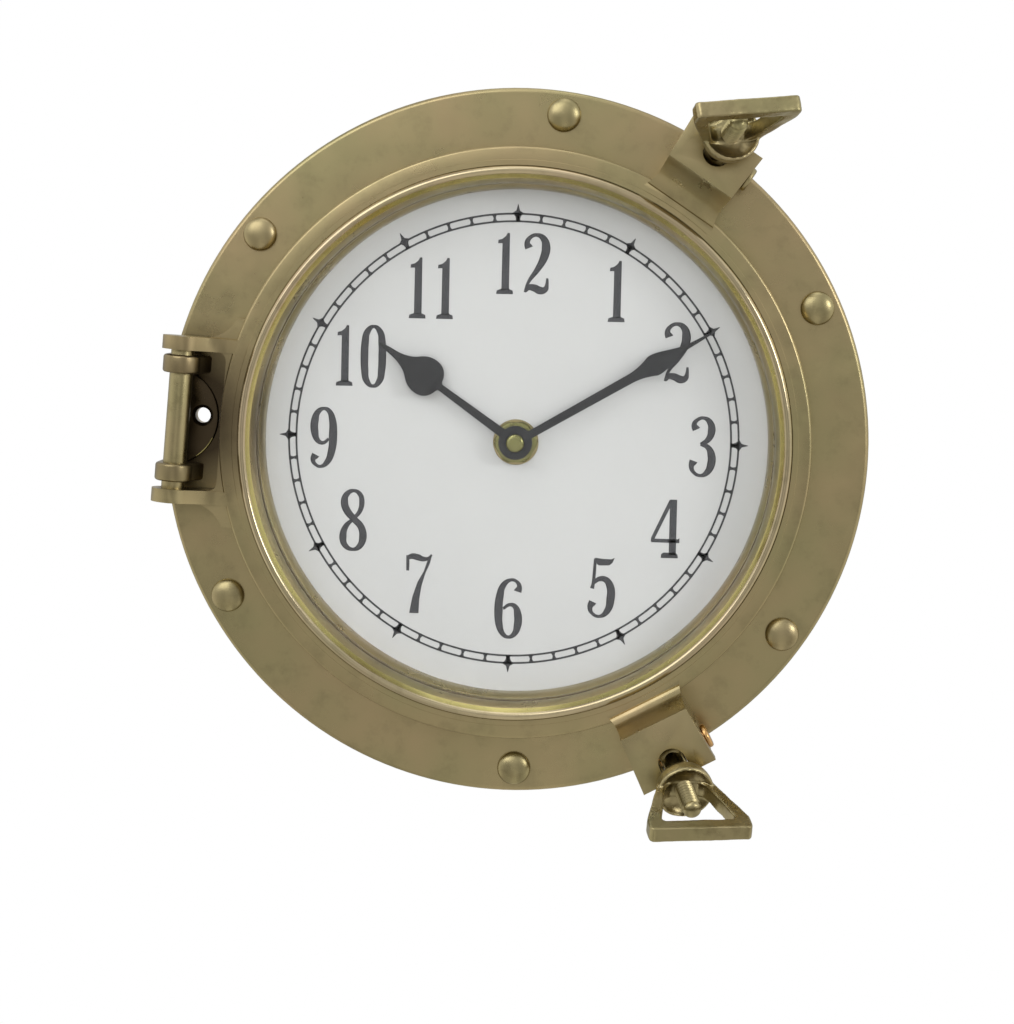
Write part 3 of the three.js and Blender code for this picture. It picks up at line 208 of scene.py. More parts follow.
white = nodes.make("Background", {"Color": WHITE, "Strength": 1.0}).outputs[0]
rays = nodes.make("LightPath").outputs
direct = nodes.math("LESS_THAN", rays["Diffuse Depth"], 0.5)
through_glass = nodes.math("MULTIPLY", rays["Is Transmission Ray"], direct)
clear = nodes.math("MAXIMUM", rays["Is Camera Ray"], through_glass)
surroundings = nodes.mix_shaders(rays["Is Glossy Ray"], even, glossy)
nodes.make("OutputWorld", {"Surface": nodes.mix_shaders(clear, surroundings, white)})


def softbox(name, place, size, power):
    """A square lamp at a place, turned to the clock."""
    data = bpy.data.lights.new(name, "AREA")
    data.shape = "SQUARE"
    data.size = size
    data.energy = power
    lamp = bpy.data.objects.new(name, data)
    scene.collection.objects.link(lamp)
    lamp.location = place
    lamp.rotation_euler = (-Vector(place)).to_track_quat("-Z", "Y").to_euler()
    return lamp


softbox("key_light", (-0.55, -0.95, 0.75), 0.9, 5.0)
softbox("fill_light", (0.9, -0.75, 0.3), 0.35, 3.0)
softbox("top_light", (0.1, -0.25, 1.1), 0.6, 0.8)
front_light = softbox("front_light", (0.05, -1.2, 0.12), 0.6, 6.8)
front_light.visible_glossy = False
front_light.visible_transmission = False
print("lamps:", len(bpy.data.lights))

# %% [markdown]
# ## Modelling by hand, in code
#
# The clock is drawn in the millimetres of its own face: X to the right, Y up and Z out of
# the wall. Two ways of starting a shape serve nearly all its metalwork. A half section is
# drawn point by point and spun, as on a lathe. An outline is drawn, filled and extruded,
# as with a saw. Both use the same tools as a hand would in edit mode.
#
# A finished piece is stood up on the wall and scaled to metres in one step, and that step
# is applied, so that the piece's object stays at the origin.

# %% Helpers that draw, spin and extrude
FACE_TO_ROOM = Matrix.Rotation(math.pi / 2, 4, "X") @ Matrix.Scale(0.001, 4)


def deselect_all():
    """Leave edit mode, and select nothing."""
    if bpy.context.object and bpy.context.object.mode != "OBJECT":
        bpy.ops.object.mode_set(mode="OBJECT")
    bpy.ops.object.select_all(action="DESELECT")


def select_only(piece):
    deselect_all()
    piece.select_set(True)
    bpy.context.view_layer.objects.active = piece


def draw_line(name, points):
    """A new mesh that holds one line through the points, left in edit mode."""
    deselect_all()
    bpy.ops.mesh.primitive_plane_add(size=0.1)
    piece = bpy.context.object
    piece.name = name
    bpy.ops.object.mode_set(mode="EDIT")
    bpy.ops.mesh.merge(type="CENTER")
    bpy.ops.transform.translate(value=points[0])
    for before, after in zip(points, points[1:]):
        step = tuple(b - a for a, b in zip(before, after))
        bpy.ops.mesh.extrude_vertices_move(TRANSFORM_OT_translate={"value": step})
    return piece


def tidy_shell():
    """Merge doubled points and turn the faces outwards, in edit mode."""
    bpy.ops.mesh.select_all(action="SELECT")
    bpy.ops.mesh.remove_doubles(threshold=0.0005)
    bpy.ops.mesh.normals_make_consistent(inside=False)
    bpy.ops.object.mode_set(mode="OBJECT")


def lathe(name, section, steps=128):
    """Spin a half section of (radius, height) points about Z."""
    points = [(radius, 0, height) for radius, height in section]
    if section[0][0] > 0:
        points.append(points[0])
    piece = draw_line(name, points)
    bpy.ops.mesh.select_all(action="SELECT")
    bpy.ops.mesh.spin(
        steps=steps, angle=2 * math.pi, center=(0, 0, 0), axis=(0, 0, 1), use_auto_merge=True,
    )
    tidy_shell()
    return piece


def sawn(name, outline, low, high):
    """Fill an outline of (x, y) points and extrude it from one height to another."""
    piece = draw_line(name, [(x, y, low) for x, y in outline])
    bpy.ops.mesh.select_all(action="SELECT")
    bpy.ops.mesh.edge_face_add()
    bpy.ops.mesh.extrude_region_move(TRANSFORM_OT_translate={"value": (0, 0, high - low)})
    tidy_shell()
    return piece


def ring(name, inner, outer, low, high, steps=24):
    """A plain turned ring, or a rod where the inner radius is 0."""
    return lathe(name, [(inner, low), (outer, low), (outer, high), (inner, high)], steps)


def bar(name, x0, y0, x1, y1, low, high):
    """A bar with square corners."""
    return sawn(name, [(x0, y0), (x1, y0), (x1, y1), (x0, y1)], low, high)


def mirrored(half, flip=(-1, 1)):
    """A closed outline from one half of its points, mirrored in X unless flip says Y."""
    return half + [(x * flip[0], y * flip[1]) for x, y in reversed(half)]


IN_Y = (1, -1)


def arc(x, y, radius, start, end, steps):
    """Points on an arc, with angles in degrees."""
    angles = [math.radians(start + (end - start) * i / steps) for i in range(steps + 1)]
    return [(x + radius * math.cos(a), y + radius * math.sin(a)) for a in angles]


print("drawing tools ready")

# %% Helpers that cut, round and stand a piece up
SHARP = math.radians(38)


def curve(start, handle, end, steps=8):
    """Points on a curve that leaves start towards a handle and arrives at end."""
    points = []
    for i in range(steps + 1):
        t = i / steps
        points.append(tuple(
            (1 - t) ** 2 * a + 2 * t * (1 - t) * b + t * t * c
            for a, b, c in zip(start, handle, end)
        ))
    return points


def apply_modifier(piece, kind, **settings):
    select_only(piece)
    modifier = piece.modifiers.new(kind.lower(), kind)
    for key, value in settings.items():
        setattr(modifier, key, value)
    bpy.ops.object.modifier_apply(modifier=modifier.name)


def boolean(piece, tools, operation):
    for tool in tools:
        apply_modifier(piece, "BOOLEAN", object=tool, operation=operation, solver="EXACT")
        bpy.data.objects.remove(tool)
    return piece


def cut(piece, *tools):
    return boolean(piece, tools, "DIFFERENCE")


def fuse(piece, *others):
    return boolean(piece, others, "UNION")


def keep_inside(piece, tool):
    return boolean(piece, [tool], "INTERSECT")


def round_edges(piece, width, segments=3):
    """Round every sharp edge, as a file or a tumbler would."""
    apply_modifier(
        piece, "BEVEL", width=width, segments=segments, limit_method="ANGLE",
        angle_limit=SHARP, use_clamp_overlap=True,
    )
    return piece


def move(piece, matrix):
    """Move a piece by a matrix and apply it."""
    select_only(piece)
    piece.matrix_world = matrix
    bpy.ops.object.transform_apply(location=True, rotation=True, scale=True)
    return piece


def about_clock(degrees):
    return Matrix.Rotation(math.radians(degrees), 4, "Z")


def shift(x=0, y=0, z=0):
    return Matrix.Translation((x, y, z))


# A section is drawn upright, and this lays it down so that its height runs along Y.
ALONG_Y = Matrix.Rotation(-math.pi / 2, 4, "X")
# An outline drawn as (x, height) is stood up, so that it is extruded along Y.
UPRIGHT = Matrix.Rotation(math.pi / 2, 4, "X")


def side_plate(name, outline, middle, width):
    """Fill an outline of (x, height) points and make it as wide as asked along Y."""
    piece = sawn(name, outline, -middle - width / 2, -middle + width / 2)
    return move(piece, UPRIGHT)


def join_shells(name, pieces):
    """Join pieces into one object, each shell closed as it is."""
    deselect_all()
    for piece in pieces:
        piece.select_set(True)
    bpy.context.view_layer.objects.active = pieces[0]
    if len(pieces) > 1:
        bpy.ops.object.join()
    pieces[0].name = name
    return pieces[0]


def copy_of(piece, name):
    twin = piece.copy()
    twin.data = piece.data.copy()
    twin.name = name
    scene.collection.objects.link(twin)
    return twin


def coat(piece, *materials):
    piece.data.materials.clear()
    for material in materials:
        piece.data.materials.append(material)


def finish(piece, material, body, *nodes, smooth=35):
    """Stand a piece up on the wall, shade it, and say what it rides on and replaces."""
    move(piece, FACE_TO_ROOM)
    if smooth:
        bpy.ops.object.shade_smooth_by_angle(angle=math.radians(smooth))
    piece.data.name = piece.name
    coat(piece, material)
    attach(piece, body)
    if nodes:
        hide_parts(*nodes)
    return piece


print("cutting and finishing tools ready")

# %% [markdown]
# ## The brass
#
# The casting is brass that was brushed across its faces and given an antique tint. It
# isn't one colour: it drifts between a greenish and a pinkish tan over a few centimetres,
# carries fine hairlines and has small darker stains where fingers and lacquer met it.
#
# Each of these is one noise, at its own size. A wide noise moves the colour, a finer one
# moves the roughness, and a noise that is stretched along the clock's radius makes the
# hairlines in the bump. The stretch follows the radius because the angle about the clock's
# axis and the distance from it are computed from the place on the piece.

# %% Metal finishes
MICRON = 0.000001
HAIRS_ROUND, HAIRS_OUT = 260.0, 60.0
# Painted shade darkens only the faces in front of these depths, fading across the span.
SHADE_DEPTHS = (-0.0315, -0.0295)


def ring_place(nodes, place):
    """Coordinates that run round the clock's axis and away from it."""
    x, y, z = nodes.make("SeparateXYZ", {0: place}).outputs
    angle = nodes.math("ARCTAN2", z, x)
    flat = nodes.vector("MULTIPLY", place, (1, 0, 1))["Vector"]
    length = nodes.vector("LENGTH", flat)["Value"]
    scaled = [
        nodes.math("MULTIPLY", source, factor)
        for source, factor in ((angle, HAIRS_ROUND), (length, HAIRS_OUT), (y, HAIRS_OUT))
    ]
    return nodes.make("CombineXYZ", dict(enumerate(scaled))).outputs[0]


def start_material(name, colour, roughness, metallic=0.0):
    """A new material with a Principled shader, and the place on the piece."""
    material = bpy.data.materials.new(name)
    material.use_nodes = True
    material.diffuse_color = (*colour, 1)
    nodes = Nodes(material.node_tree)
    shader = nodes.make("BsdfPrincipled", {
        "Base Color": (*colour, 1), "Roughness": roughness, "Metallic": metallic,
    })
    nodes.make("OutputMaterial", {"Surface": shader.outputs[0]})
    return material, nodes, shader, nodes.make("TexCoord").outputs["Object"]


def bump(nodes, shader, source, distance, before=None):
    """Raise the surface by a texture, over an earlier bump if there is one."""
    node = nodes.make("Bump", {"Strength": 1.0, "Distance": distance, "Height": source})
    if before is not None:
        nodes.feed(node.inputs["Normal"], before)
    nodes.feed(shader.inputs["Normal"], node.outputs["Normal"])
    return node.outputs["Normal"]


def paint_pocket_shade(nodes, place, colour, shade_colour, centre, thick, thin):
    """Painted shade: darken the front round a place, fully out to thick and fading to none at thin.
    """
    away = nodes.vector("DISTANCE", place, centre)["Value"]
    shade_reach = nodes.ramp(away, thick, thin, 1.0, 0.0)
    depth = nodes.make("SeparateXYZ", {0: place}).outputs["Y"]
    front = nodes.ramp(depth, *SHADE_DEPTHS, 1.0, 0.0)
    return nodes.mix(nodes.math("MULTIPLY", shade_reach, front), colour, shade_colour)


def brass(name, tan, green, dark, roughness, drift, hairlines, stain, pocket_shade=None):
    """Brass that drifts between two tints, with stains and radial hairlines.

    Drift is the scale of the widest noise. Pocket shade is painted shade round a place: the
    place and two distances, the one where it is thickest and the one where it ends.
    """
    material, nodes, shader, place = start_material(name, tan, roughness, 1.0)
    wide = nodes.ramp(nodes.noise(place, drift, 3.0), 0.3, 0.7)
    spots = nodes.ramp(nodes.noise(place, drift * 4, 6.0, 0.65), 0.52, 0.72, 0.0, stain)
    colour = nodes.mix(spots, nodes.mix(wide, tan, green), dark)
    # Painted shade: the colour darkens towards a given place, for the recess round the hinge.
    if pocket_shade is not None:
        shade_colour = tuple(channel * 0.4 for channel in dark)
        colour = paint_pocket_shade(nodes, place, colour, shade_colour, *pocket_shade)
    nodes.feed(shader.inputs["Base Color"], colour)
    worn = nodes.noise(place, drift * 2.5, 5.0, 0.6)
    rough = nodes.ramp(worn, 0.35, 0.7, roughness - 0.06, roughness + 0.09)
    nodes.feed(shader.inputs["Roughness"], rough)
    lines = nodes.noise(ring_place(nodes, place), 1.0, 3.0, 0.6)
    brushed = bump(nodes, shader, lines, hairlines)
    bump(nodes, shader, nodes.noise(place, 700.0, 1.0), hairlines * 0.2, brushed)
    return material


# The antique brass carries painted shade on its front faces round the hinge pocket, between the
# ears.
antique_brass = brass(
    "antique_brass", (0.41, 0.318, 0.175), (0.345, 0.305, 0.155), (0.15, 0.11, 0.065),
    0.32, 30.0, 8 * MICRON, 0.25, pocket_shade=((-0.098, -0.0315, 0.0085), 0.012, 0.031),
)
dark_brass = brass(
    "cast_brass", (0.38, 0.31, 0.17), (0.34, 0.30, 0.15), (0.15, 0.11, 0.055),
    0.32, 45.0, 10 * MICRON, 0.45,
)
polished_brass = brass(
    "polished_brass", (0.47, 0.40, 0.17), (0.41, 0.37, 0.14), (0.27, 0.20, 0.08),
    0.22, 40.0, 3 * MICRON, 0.3,
)
olive_brass = brass(
    "olive_brass", (0.24, 0.225, 0.10), (0.21, 0.205, 0.085), (0.13, 0.12, 0.05),
    0.30, 60.0, 4 * MICRON, 0.3,
)
bead_brass = brass(
    "bead_brass", (0.50, 0.40, 0.26), (0.44, 0.385, 0.23), (0.22, 0.16, 0.09),
    0.17, 40.0, 4 * MICRON, 0.3,
)
copper_brass = brass(
    "copper_brass", (0.62, 0.36, 0.14), (0.55, 0.34, 0.14), (0.34, 0.16, 0.06),
    0.22, 60.0, 6 * MICRON, 0.3,
)
print("brass finishes:", antique_brass.name, dark_brass.name, polished_brass.name)

# %% [markdown]
# ## The other finishes
#
# The dial is white satin card with a faint grey cloudiness. The hands are matt black paint
# on thin metal. Behind the dial are black and white plastics, zinc plated steel, hardboard
# and rubber. A moulded plastic shows a very fine pebble in grazing light, so each plastic
# gets that as a bump, and its tone moves a little.

# %% Plastic, paint, paper, steel, board and rubber


def plain(name, colour, roughness, metallic=0.0, tone=0.12, scale=60.0, depth=10):
    """A surface whose tone, roughness and fine grain vary a little. Depth is in microns."""
    material, nodes, shader, place = start_material(name, colour, roughness, metallic)
    cloud = nodes.ramp(nodes.noise(place, scale), 0.35, 0.7)
    shade = tuple(c * (1 - tone) for c in colour)
    nodes.feed(shader.inputs["Base Color"], nodes.mix(cloud, colour, shade))
    fine = nodes.noise(place, 1500.0, 2.0)
    rough = nodes.ramp(fine, 0.2, 0.8, roughness - 0.05, roughness + 0.05)
    nodes.feed(shader.inputs["Roughness"], rough)
    bump(nodes, shader, fine, depth * MICRON)
    return material


dial_white = plain("dial_white", (0.511, 0.513, 0.51), 0.5, tone=0.035, scale=28.0, depth=4)
print_black = plain("dial_ink", (0.042, 0.042, 0.046), 0.5, tone=0.35, scale=700.0)
hand_black = plain("hand_black", (0.012, 0.012, 0.013), 0.36, tone=0.2, depth=4)
black_plastic = plain("black_plastic", (0.022, 0.022, 0.023), 0.45, tone=0.2, depth=20)
white_plastic = plain("white_plastic", (0.74, 0.72, 0.64), 0.4, tone=0.06)
black_rubber = plain("black_rubber", (0.014, 0.014, 0.014), 0.75, tone=0.25, depth=20)
seal_brown = plain("seal_brown", (0.15, 0.115, 0.07), 0.6, tone=0.2, depth=20)
zinc_steel = plain("zinc_steel", (0.56, 0.56, 0.55), 0.32, 1.0, tone=0.18, scale=220.0)
copper_wire = plain("copper_wire", (0.55, 0.20, 0.07), 0.3, 0.9, tone=0.3, scale=900.0)
board_green = plain("board_green", (0.045, 0.17, 0.075), 0.4, tone=0.2, scale=300.0)
battery_sleeve = plain("battery_sleeve", (0.03, 0.035, 0.045), 0.28, 0.3, tone=0.15)
battery_band = plain("battery_band", (0.66, 0.37, 0.12), 0.28, 0.9, tone=0.1)


def hardboard(name):
    """Brown board made of pressed fibres, with flecks and short dark strands."""
    material, nodes, shader, place = start_material(name, (0.24, 0.15, 0.08), 0.75)
    stretched = nodes.make("Mapping", {"Vector": place, "Scale": (260, 260, 900)})
    strands = nodes.noise(stretched.outputs[0], 1.0, 5.0, 0.7)
    tone = nodes.mix(nodes.ramp(strands, 0.4, 0.65), (0.28, 0.175, 0.095), (0.15, 0.09, 0.045))
    flecks = nodes.ramp(nodes.noise(place, 800.0, 3.0), 0.62, 0.7)
    nodes.feed(shader.inputs["Base Color"], nodes.mix(flecks, tone, (0.42, 0.30, 0.18)))
    bump(nodes, shader, strands, 60 * MICRON)
    return material


board_brown = hardboard("hardboard")

# %% [markdown]
# ## The glass
#
# Clear glass reflects a little at its two faces and lets the rest through. A solid glass
# shader alone would throw a dark shadow on the dial, because light that bends through
# glass is hard to follow. So the shadow rays are let straight through, as they nearly are.
# The photo shows almost no reflection on the pane, so its index is set low.

# %% Clear glass


def clear_pane(name):
    material, nodes, shader, place = start_material(name, (0.975, 0.98, 0.977), 0.0)
    shader.inputs["Transmission Weight"].default_value = 1.0
    shader.inputs["IOR"].default_value = 1.2
    shadow = nodes.make("LightPath").outputs["Is Shadow Ray"]
    through = nodes.make("BsdfTransparent", {"Color": (0.937, 0.942, 0.94, 1)}).outputs[0]
    pane = nodes.mix_shaders(shadow, shader.outputs[0], through)
    end = material.node_tree.nodes["Material Output"]
    nodes.feed(end.inputs["Surface"], pane)
    smudge = nodes.ramp(nodes.noise(place, 35.0, 5.0), 0.45, 0.8, 0.0, 0.03)
    nodes.feed(shader.inputs["Roughness"], smudge)
    return material


clear_glass = clear_pane("clear_glass")
print("finishes made:", len(bpy.data.materials))

# %% [markdown]
# ## The flange and its drum
#
# The main casting is turned: a drum that reaches back to the wall, a flange as wide as the
# clock, and a lip that the dial sits behind. It could be built from three rings, but a
# turner cuts it as one section, and so does this cell. The screw hole by the hinge is
# drilled right through and countersunk, and a low pad with a round edge lies under the
# hinge.

# %% Turn the flange
WALL = 0
FLANGE_BACK = 28
FLANGE_TOP = 33
FLANGE_RADIUS = 107.5
LIP_BACK = 26.3
HINGE_TURN = -5

flange = lathe("flange_casting", [
    (80.6, WALL), (84, WALL), (84, 26), *arc(86, 26, 2, 180, 90, 5)[1:],
    (FLANGE_RADIUS - 0.6, FLANGE_BACK), (FLANGE_RADIUS, FLANGE_BACK + 0.6),
    *arc(FLANGE_RADIUS - 1.4, FLANGE_TOP - 1.4, 1.4, 0, 90, 8),
    (79.2, FLANGE_TOP), *curve((79.2, FLANGE_TOP), (77.8, 32.2), (77.4, 30), 5)[1:],
    (77.3, LIP_BACK), (80.6, LIP_BACK),
], 180)
PAD_TOP = FLANGE_TOP + 0.7
pad = sawn("hinge_pad", arc(-106, -1, 15, 0, 352.5, 47), FLANGE_TOP - 1, PAD_TOP)
keep_inside(pad, ring("pad_edge", 0, FLANGE_RADIUS - 1.4, 0, 60, 180))
round_edges(pad, 0.5)
move(pad, about_clock(HINGE_TURN))
for part in (flange, pad):
    drill = lathe("drill", [
        (0, 20), (2.35, 20), (2.35, PAD_TOP - 0.95), (3.5, PAD_TOP + 0.2), (3.5, 50), (0, 50),
    ], 32)
    cut(part, move(drill, about_clock(HINGE_TURN) @ shift(x=-96.1)))
print("flange faces:", len(flange.data.polygons))

# %% [markdown]
# ## The hinge's knuckles and the bolts' clevises
#
# Two knuckles stand on the flange and hold the hinge pin. Two forked blocks hold the
# pivots of the swing bolts. All are sawn from a side outline and filed round at the edges,
# and the forks get their gap from one straight cut and a round pocket for the bolt's eye.

# %% Saw the knuckles and clevises
HINGE_RADIUS = 102
HINGE_HEIGHT = 43.5
PIVOT_RADIUS = 105
PIVOT_HEIGHT = 43
DOG_ANGLE = {"upper": 55.3, "lower": -63}
PIVOT_PLACE = {
    which: about_clock(angle) @ shift(x=PIVOT_RADIUS, z=PIVOT_HEIGHT)
    for which, angle in DOG_ANGLE.items()
}

knuckles = []
for middle in (15.6, -17.2):
    block = side_plate("knuckle", [
        (-107.7, 32), (-94.3, 32), (-95.4, 35), (-96.3, 42),
        *arc(-HINGE_RADIUS, HINGE_HEIGHT, 5.7, 0, 180, 14),
    ], middle, 5.5)
    round_edges(block, 0.9, 4)
    knuckles.append(move(block, about_clock(HINGE_TURN)))

clevises = []
for which, angle in DOG_ANGLE.items():
    fork = side_plate("clevis", [
        (99.2, 32), (107.5, 32), (110, 35.5), *arc(106.5, 44.1, 3.5, 0, 90, 6), (99.2, 47.6),
    ], 0, 22.8)
    slot = bar("slot", 90, -3.9, 130, 3.9, 35, 90)
    pocket = side_plate("pocket", arc(PIVOT_RADIUS, PIVOT_HEIGHT, 5.5, 0, 348, 29), 0, 7.8)
    cut(fork, slot, pocket)
    round_edges(fork, 0.5)
    clevises.append(move(fork, about_clock(angle)))

casting = join_shells("flange_casting", [flange, pad, *knuckles, *clevises])
finish(casting, antique_brass, "fixed_clock", "base_flange")

# This polish was meant for the fixing hole. It lands on a short stretch of the pad's edge
# below the hole, because the place is level with the clock's axis. It stays as it is.
POLISH_X, POLISH_REACH, POLISH_FRONT = -0.0957343, 0.0038, -0.0322
coat(casting, antique_brass, polished_brass)
polished = [
    face for face in casting.data.polygons
    if math.hypot(face.center.x - POLISH_X, face.center.z) < POLISH_REACH
    and face.center.y < POLISH_FRONT and abs(face.normal.y) < 0.98
]
for face in polished:
    face.material_index = 1
print("casting faces:", len(casting.data.polygons), "polished:", len(polished))

# %% [markdown]
# ## Rivets and pins
#
# Six domed rivets look as if they hold the flange to a ship's side. The dome is a low
# ellipse over a short straight edge. It is turned once and copied to its six places. The
# hinge pin is a plain rod, and the bolts' pins have round heads, the lower one reddish.

# %% Turn the rivets and pins
RIVET_CIRCLE = 100.3
RIVET_ANGLES = (24.2, 81.5, 140.7, 208, 269.8, 324.5)

dome = [
    (5.1 * math.cos(math.radians(t)), FLANGE_TOP + 0.45 + 2.2 * math.sin(math.radians(t)))
    for t in range(0, 91, 9)
]
dome[-1] = (0, dome[-1][1])
pattern = lathe("rivet", [
    (0, 27.8), (2.5, 27.8), (2.5, 33.05), (4.8, 33.05), (5.1, 33.2), *dome,
], 48)
for number, angle in enumerate(RIVET_ANGLES, 1):
    rivet = copy_of(pattern, "rivet_head_%d" % number)
    move(rivet, about_clock(angle) @ shift(x=RIVET_CIRCLE) @ about_clock(70 * number))
    finish(rivet, dark_brass, "fixed_clock", "rivet_%d" % number)
bpy.data.objects.remove(pattern)

hinge_rod = lathe("hinge_rod", [
    (0, -26.35), (2.9, -26.35), *arc(3.0, -25.85, 0.5, -90, 0, 4), (3.5, 23.55),
    *arc(3.0, 23.55, 0.5, 0, 90, 4), (0, 24.05),
], 48)
hinge_frame = about_clock(HINGE_TURN) @ shift(x=-HINGE_RADIUS, z=HINGE_HEIGHT)
move(hinge_rod, hinge_frame @ ALONG_Y)
finish(hinge_rod, dark_brass, "fixed_clock", "hinge_pin")

# Each pivot's head looks one way along its pin.
PIVOT_HEADS = {"upper": (180, dark_brass), "lower": (0, copper_brass)}
for which, (turn, metal) in PIVOT_HEADS.items():
    pivot = lathe("pivot_%s" % which, [
        (0, -11.4), (2.2, -11.4), (2.5, -11.1), (2.5, 11.6), (3.5, 11.6), (3.8, 11.9),
        *arc(3.0, 12.3, 0.8, 0, 70, 4), (0, 13.1),
    ], 40)
    move(pivot, PIVOT_PLACE[which] @ about_clock(turn) @ ALONG_Y)
    finish(pivot, metal, "fixed_clock", "dog_pin_%s" % which)
print("rivets, hinge pin and pivots done")

# %% [markdown]
# ## The door ring
#
# The door is a flat brushed ring. On the left two ears reach out to the hinge pin, with a
# straight inner flat between them. On the right two lugs rise as folded ramps over the
# clevises, and each has a slot that a bolt swings into. The ring is turned, and the ears
# and lugs are sawn from their side outline and trimmed by their plan outline.

# %% Turn the ring and saw its ears
DOOR_BACK = 33.3
DOOR_FRONT = 42.7
DOOR_RADIUS = 89.6
BEAD_RADIUS = 85.6

door = lathe("door_casting", [
    (78.6, DOOR_BACK), (89.1, DOOR_BACK), (DOOR_RADIUS, 33.8),
    *arc(DOOR_RADIUS - 0.9, 41.6, 0.9, 0, 84, 8), (BEAD_RADIUS - 0.2, DOOR_FRONT),
    (83.2, DOOR_FRONT), (83.2, 35.3), (78.6, 35.3),
], 180)

EAR_UPPER, EAR_LOWER = 22, -24.3
EAR_HALF = 2.05
web = bar("web", -96, EAR_LOWER, -84.6, EAR_UPPER, 34, 42)
for middle, side in ((EAR_UPPER, 1), (EAR_LOWER, -1)):
    ear = side_plate("ear", [
        (-HINGE_RADIUS, 37.2), (-DOOR_RADIUS, 34), (-84.6, 34), (-84.6, 42.5), (-88.6, 42.5),
        *curve((-88.6, 42.5), (-93.6, 43.1), (-99, 49))[1:],
        *arc(-HINGE_RADIUS, HINGE_HEIGHT, 6.3, 90, 270, 16)[:-1],
    ], middle, 2 * EAR_HALF)
    inner, outer = middle - side * EAR_HALF, middle + side * EAR_HALF
    root = sawn("root", [
        (-81.6, inner), (-96, inner),
        *curve((-96, outer), (-89.6, outer + side * 0.4), (-86.5, outer + side * 6.5)),
        (-81.6, outer + side * 6.5),
    ], 34, 42)
    fuse(web, ear, root)
flat_bottom, flat_top = EAR_LOWER + EAR_HALF, EAR_UPPER - EAR_HALF
flat_tool = sawn("flat_tool", [
    (-120, flat_bottom), (-92, flat_bottom),
    *curve((-92, flat_bottom), (-89, flat_bottom), (-89, flat_bottom + 3), 6)[1:],
    *curve((-89, flat_top - 3), (-89, flat_top), (-92, flat_top), 6), (-120, flat_top),
], 0, 200)
cut(web, flat_tool, ring("inner_tool", 0, 83.7, 0, 90, 180))
round_edges(web, 0.55)
move(web, about_clock(HINGE_TURN))
print("ears:", len(web.data.polygons))

# %% Fold the lugs
LUG_TOP = 55


def lug(angle, fold, edge):
    side = side_plate("lug", [
        (84.6, DOOR_BACK), (98.5, DOOR_BACK), (98.5, LUG_TOP - 6), (edge, LUG_TOP - 6),
        (edge, LUG_TOP), (fold, LUG_TOP),
        *curve((fold, LUG_TOP), (fold / 2 + 44.6, 45.2), (87.6, 43.6), 10)[1:],
        (87.3, DOOR_FRONT - 0.1), (84.6, DOOR_FRONT - 0.1),
    ], 0, 60)
    plan = sawn("plan", mirrored([
        *curve((84.6, -13.4), (87.4, -11.2), (92.0, -10.8), 7), (edge, -12),
    ], IN_Y), 0, 90)
    keep_inside(side, plan)
    slot = sawn("slot", [
        (105.75, -4.25), (130, -4.25), (130, 4.25), *arc(105.75, 0, 4.25, 90, 270, 12)[:-1],
    ], 35, 90)
    mouth = sawn("mouth", arc(edge + 2.6, 0, 6.4, 0, 352.5, 47), 35, 90)
    cut(side, slot, mouth)
    round_edges(side, 0.45)
    return move(side, about_clock(angle))


lugs = [lug(DOG_ANGLE["upper"], 97.2, 111.8), lug(DOG_ANGLE["lower"], 93.0, 110.8)]
door = join_shells("door_casting", [door, web, *lugs])
finish(door, antique_brass, "door", "door_ring")
print("door faces:", len(door.data.polygons))

# %% [markdown]
# ## The beaded bezel
#
# A ring presses the glass into the door. Its outer part lies flush with the door's face
# and has the door's brushed finish. Then come a fine groove and one round bead, and inside
# it a bright edge and a slope go down to the glass. The faces get their finish by radius.

# %% Turn the bezel
BEAD_FROM, BEAD_TO = 0.0812, 0.0837
BEAD_FOOT = -0.0425
EDGE_FROM = 0.0801

bezel = lathe("bezel_bead", [
    (78.62, 38.85), (83.05, 38.85), (83.05, 42.7), (BEAD_RADIUS, 42.7),
    (BEAD_RADIUS - 0.1, 42.8), (83.9, 42.85), (83.6, 42.4), *arc(82.35, 43.7, 1.3, -45, 150, 16),
    (80.75, 43.9), (80.3, 43.3), *curve((80.3, 43.3), (79.6, 42.9), (78.9, 40.6), 6)[1:],
], 200)
finish(bezel, antique_brass, "door", "bezel_ring", smooth=40)
coat(bezel, antique_brass, bead_brass, polished_brass)
for face in bezel.data.polygons:
    radius = math.hypot(face.center.x, face.center.z)
    if BEAD_FROM < radius < BEAD_TO and face.center.y < BEAD_FOOT:
        face.material_index = 1
    elif EDGE_FROM < radius <= BEAD_FROM:
        face.material_index = 2
print("bezel done:", len(bezel.data.polygons))

# %% [markdown]
# ## Swing bolts and loop nuts
#
# Each dog is an eye bolt on its pivot with a cast loop nut on its thread. The bolt is
# turned with a ring for each thread, and its end is rounded. The nut is a casting: a
# bowl, two arms that spread like a stirrup and a straight bar. Its flat outline
# is sawn first. Then a voxel remesh fuses it with the collar, and smoothing rounds all its
# edges, as molten metal in a sand mould does.

# %% Turn a bolt
THREAD_FROM, THREAD_TO, PITCH = 11.0, 29.8, 1.35

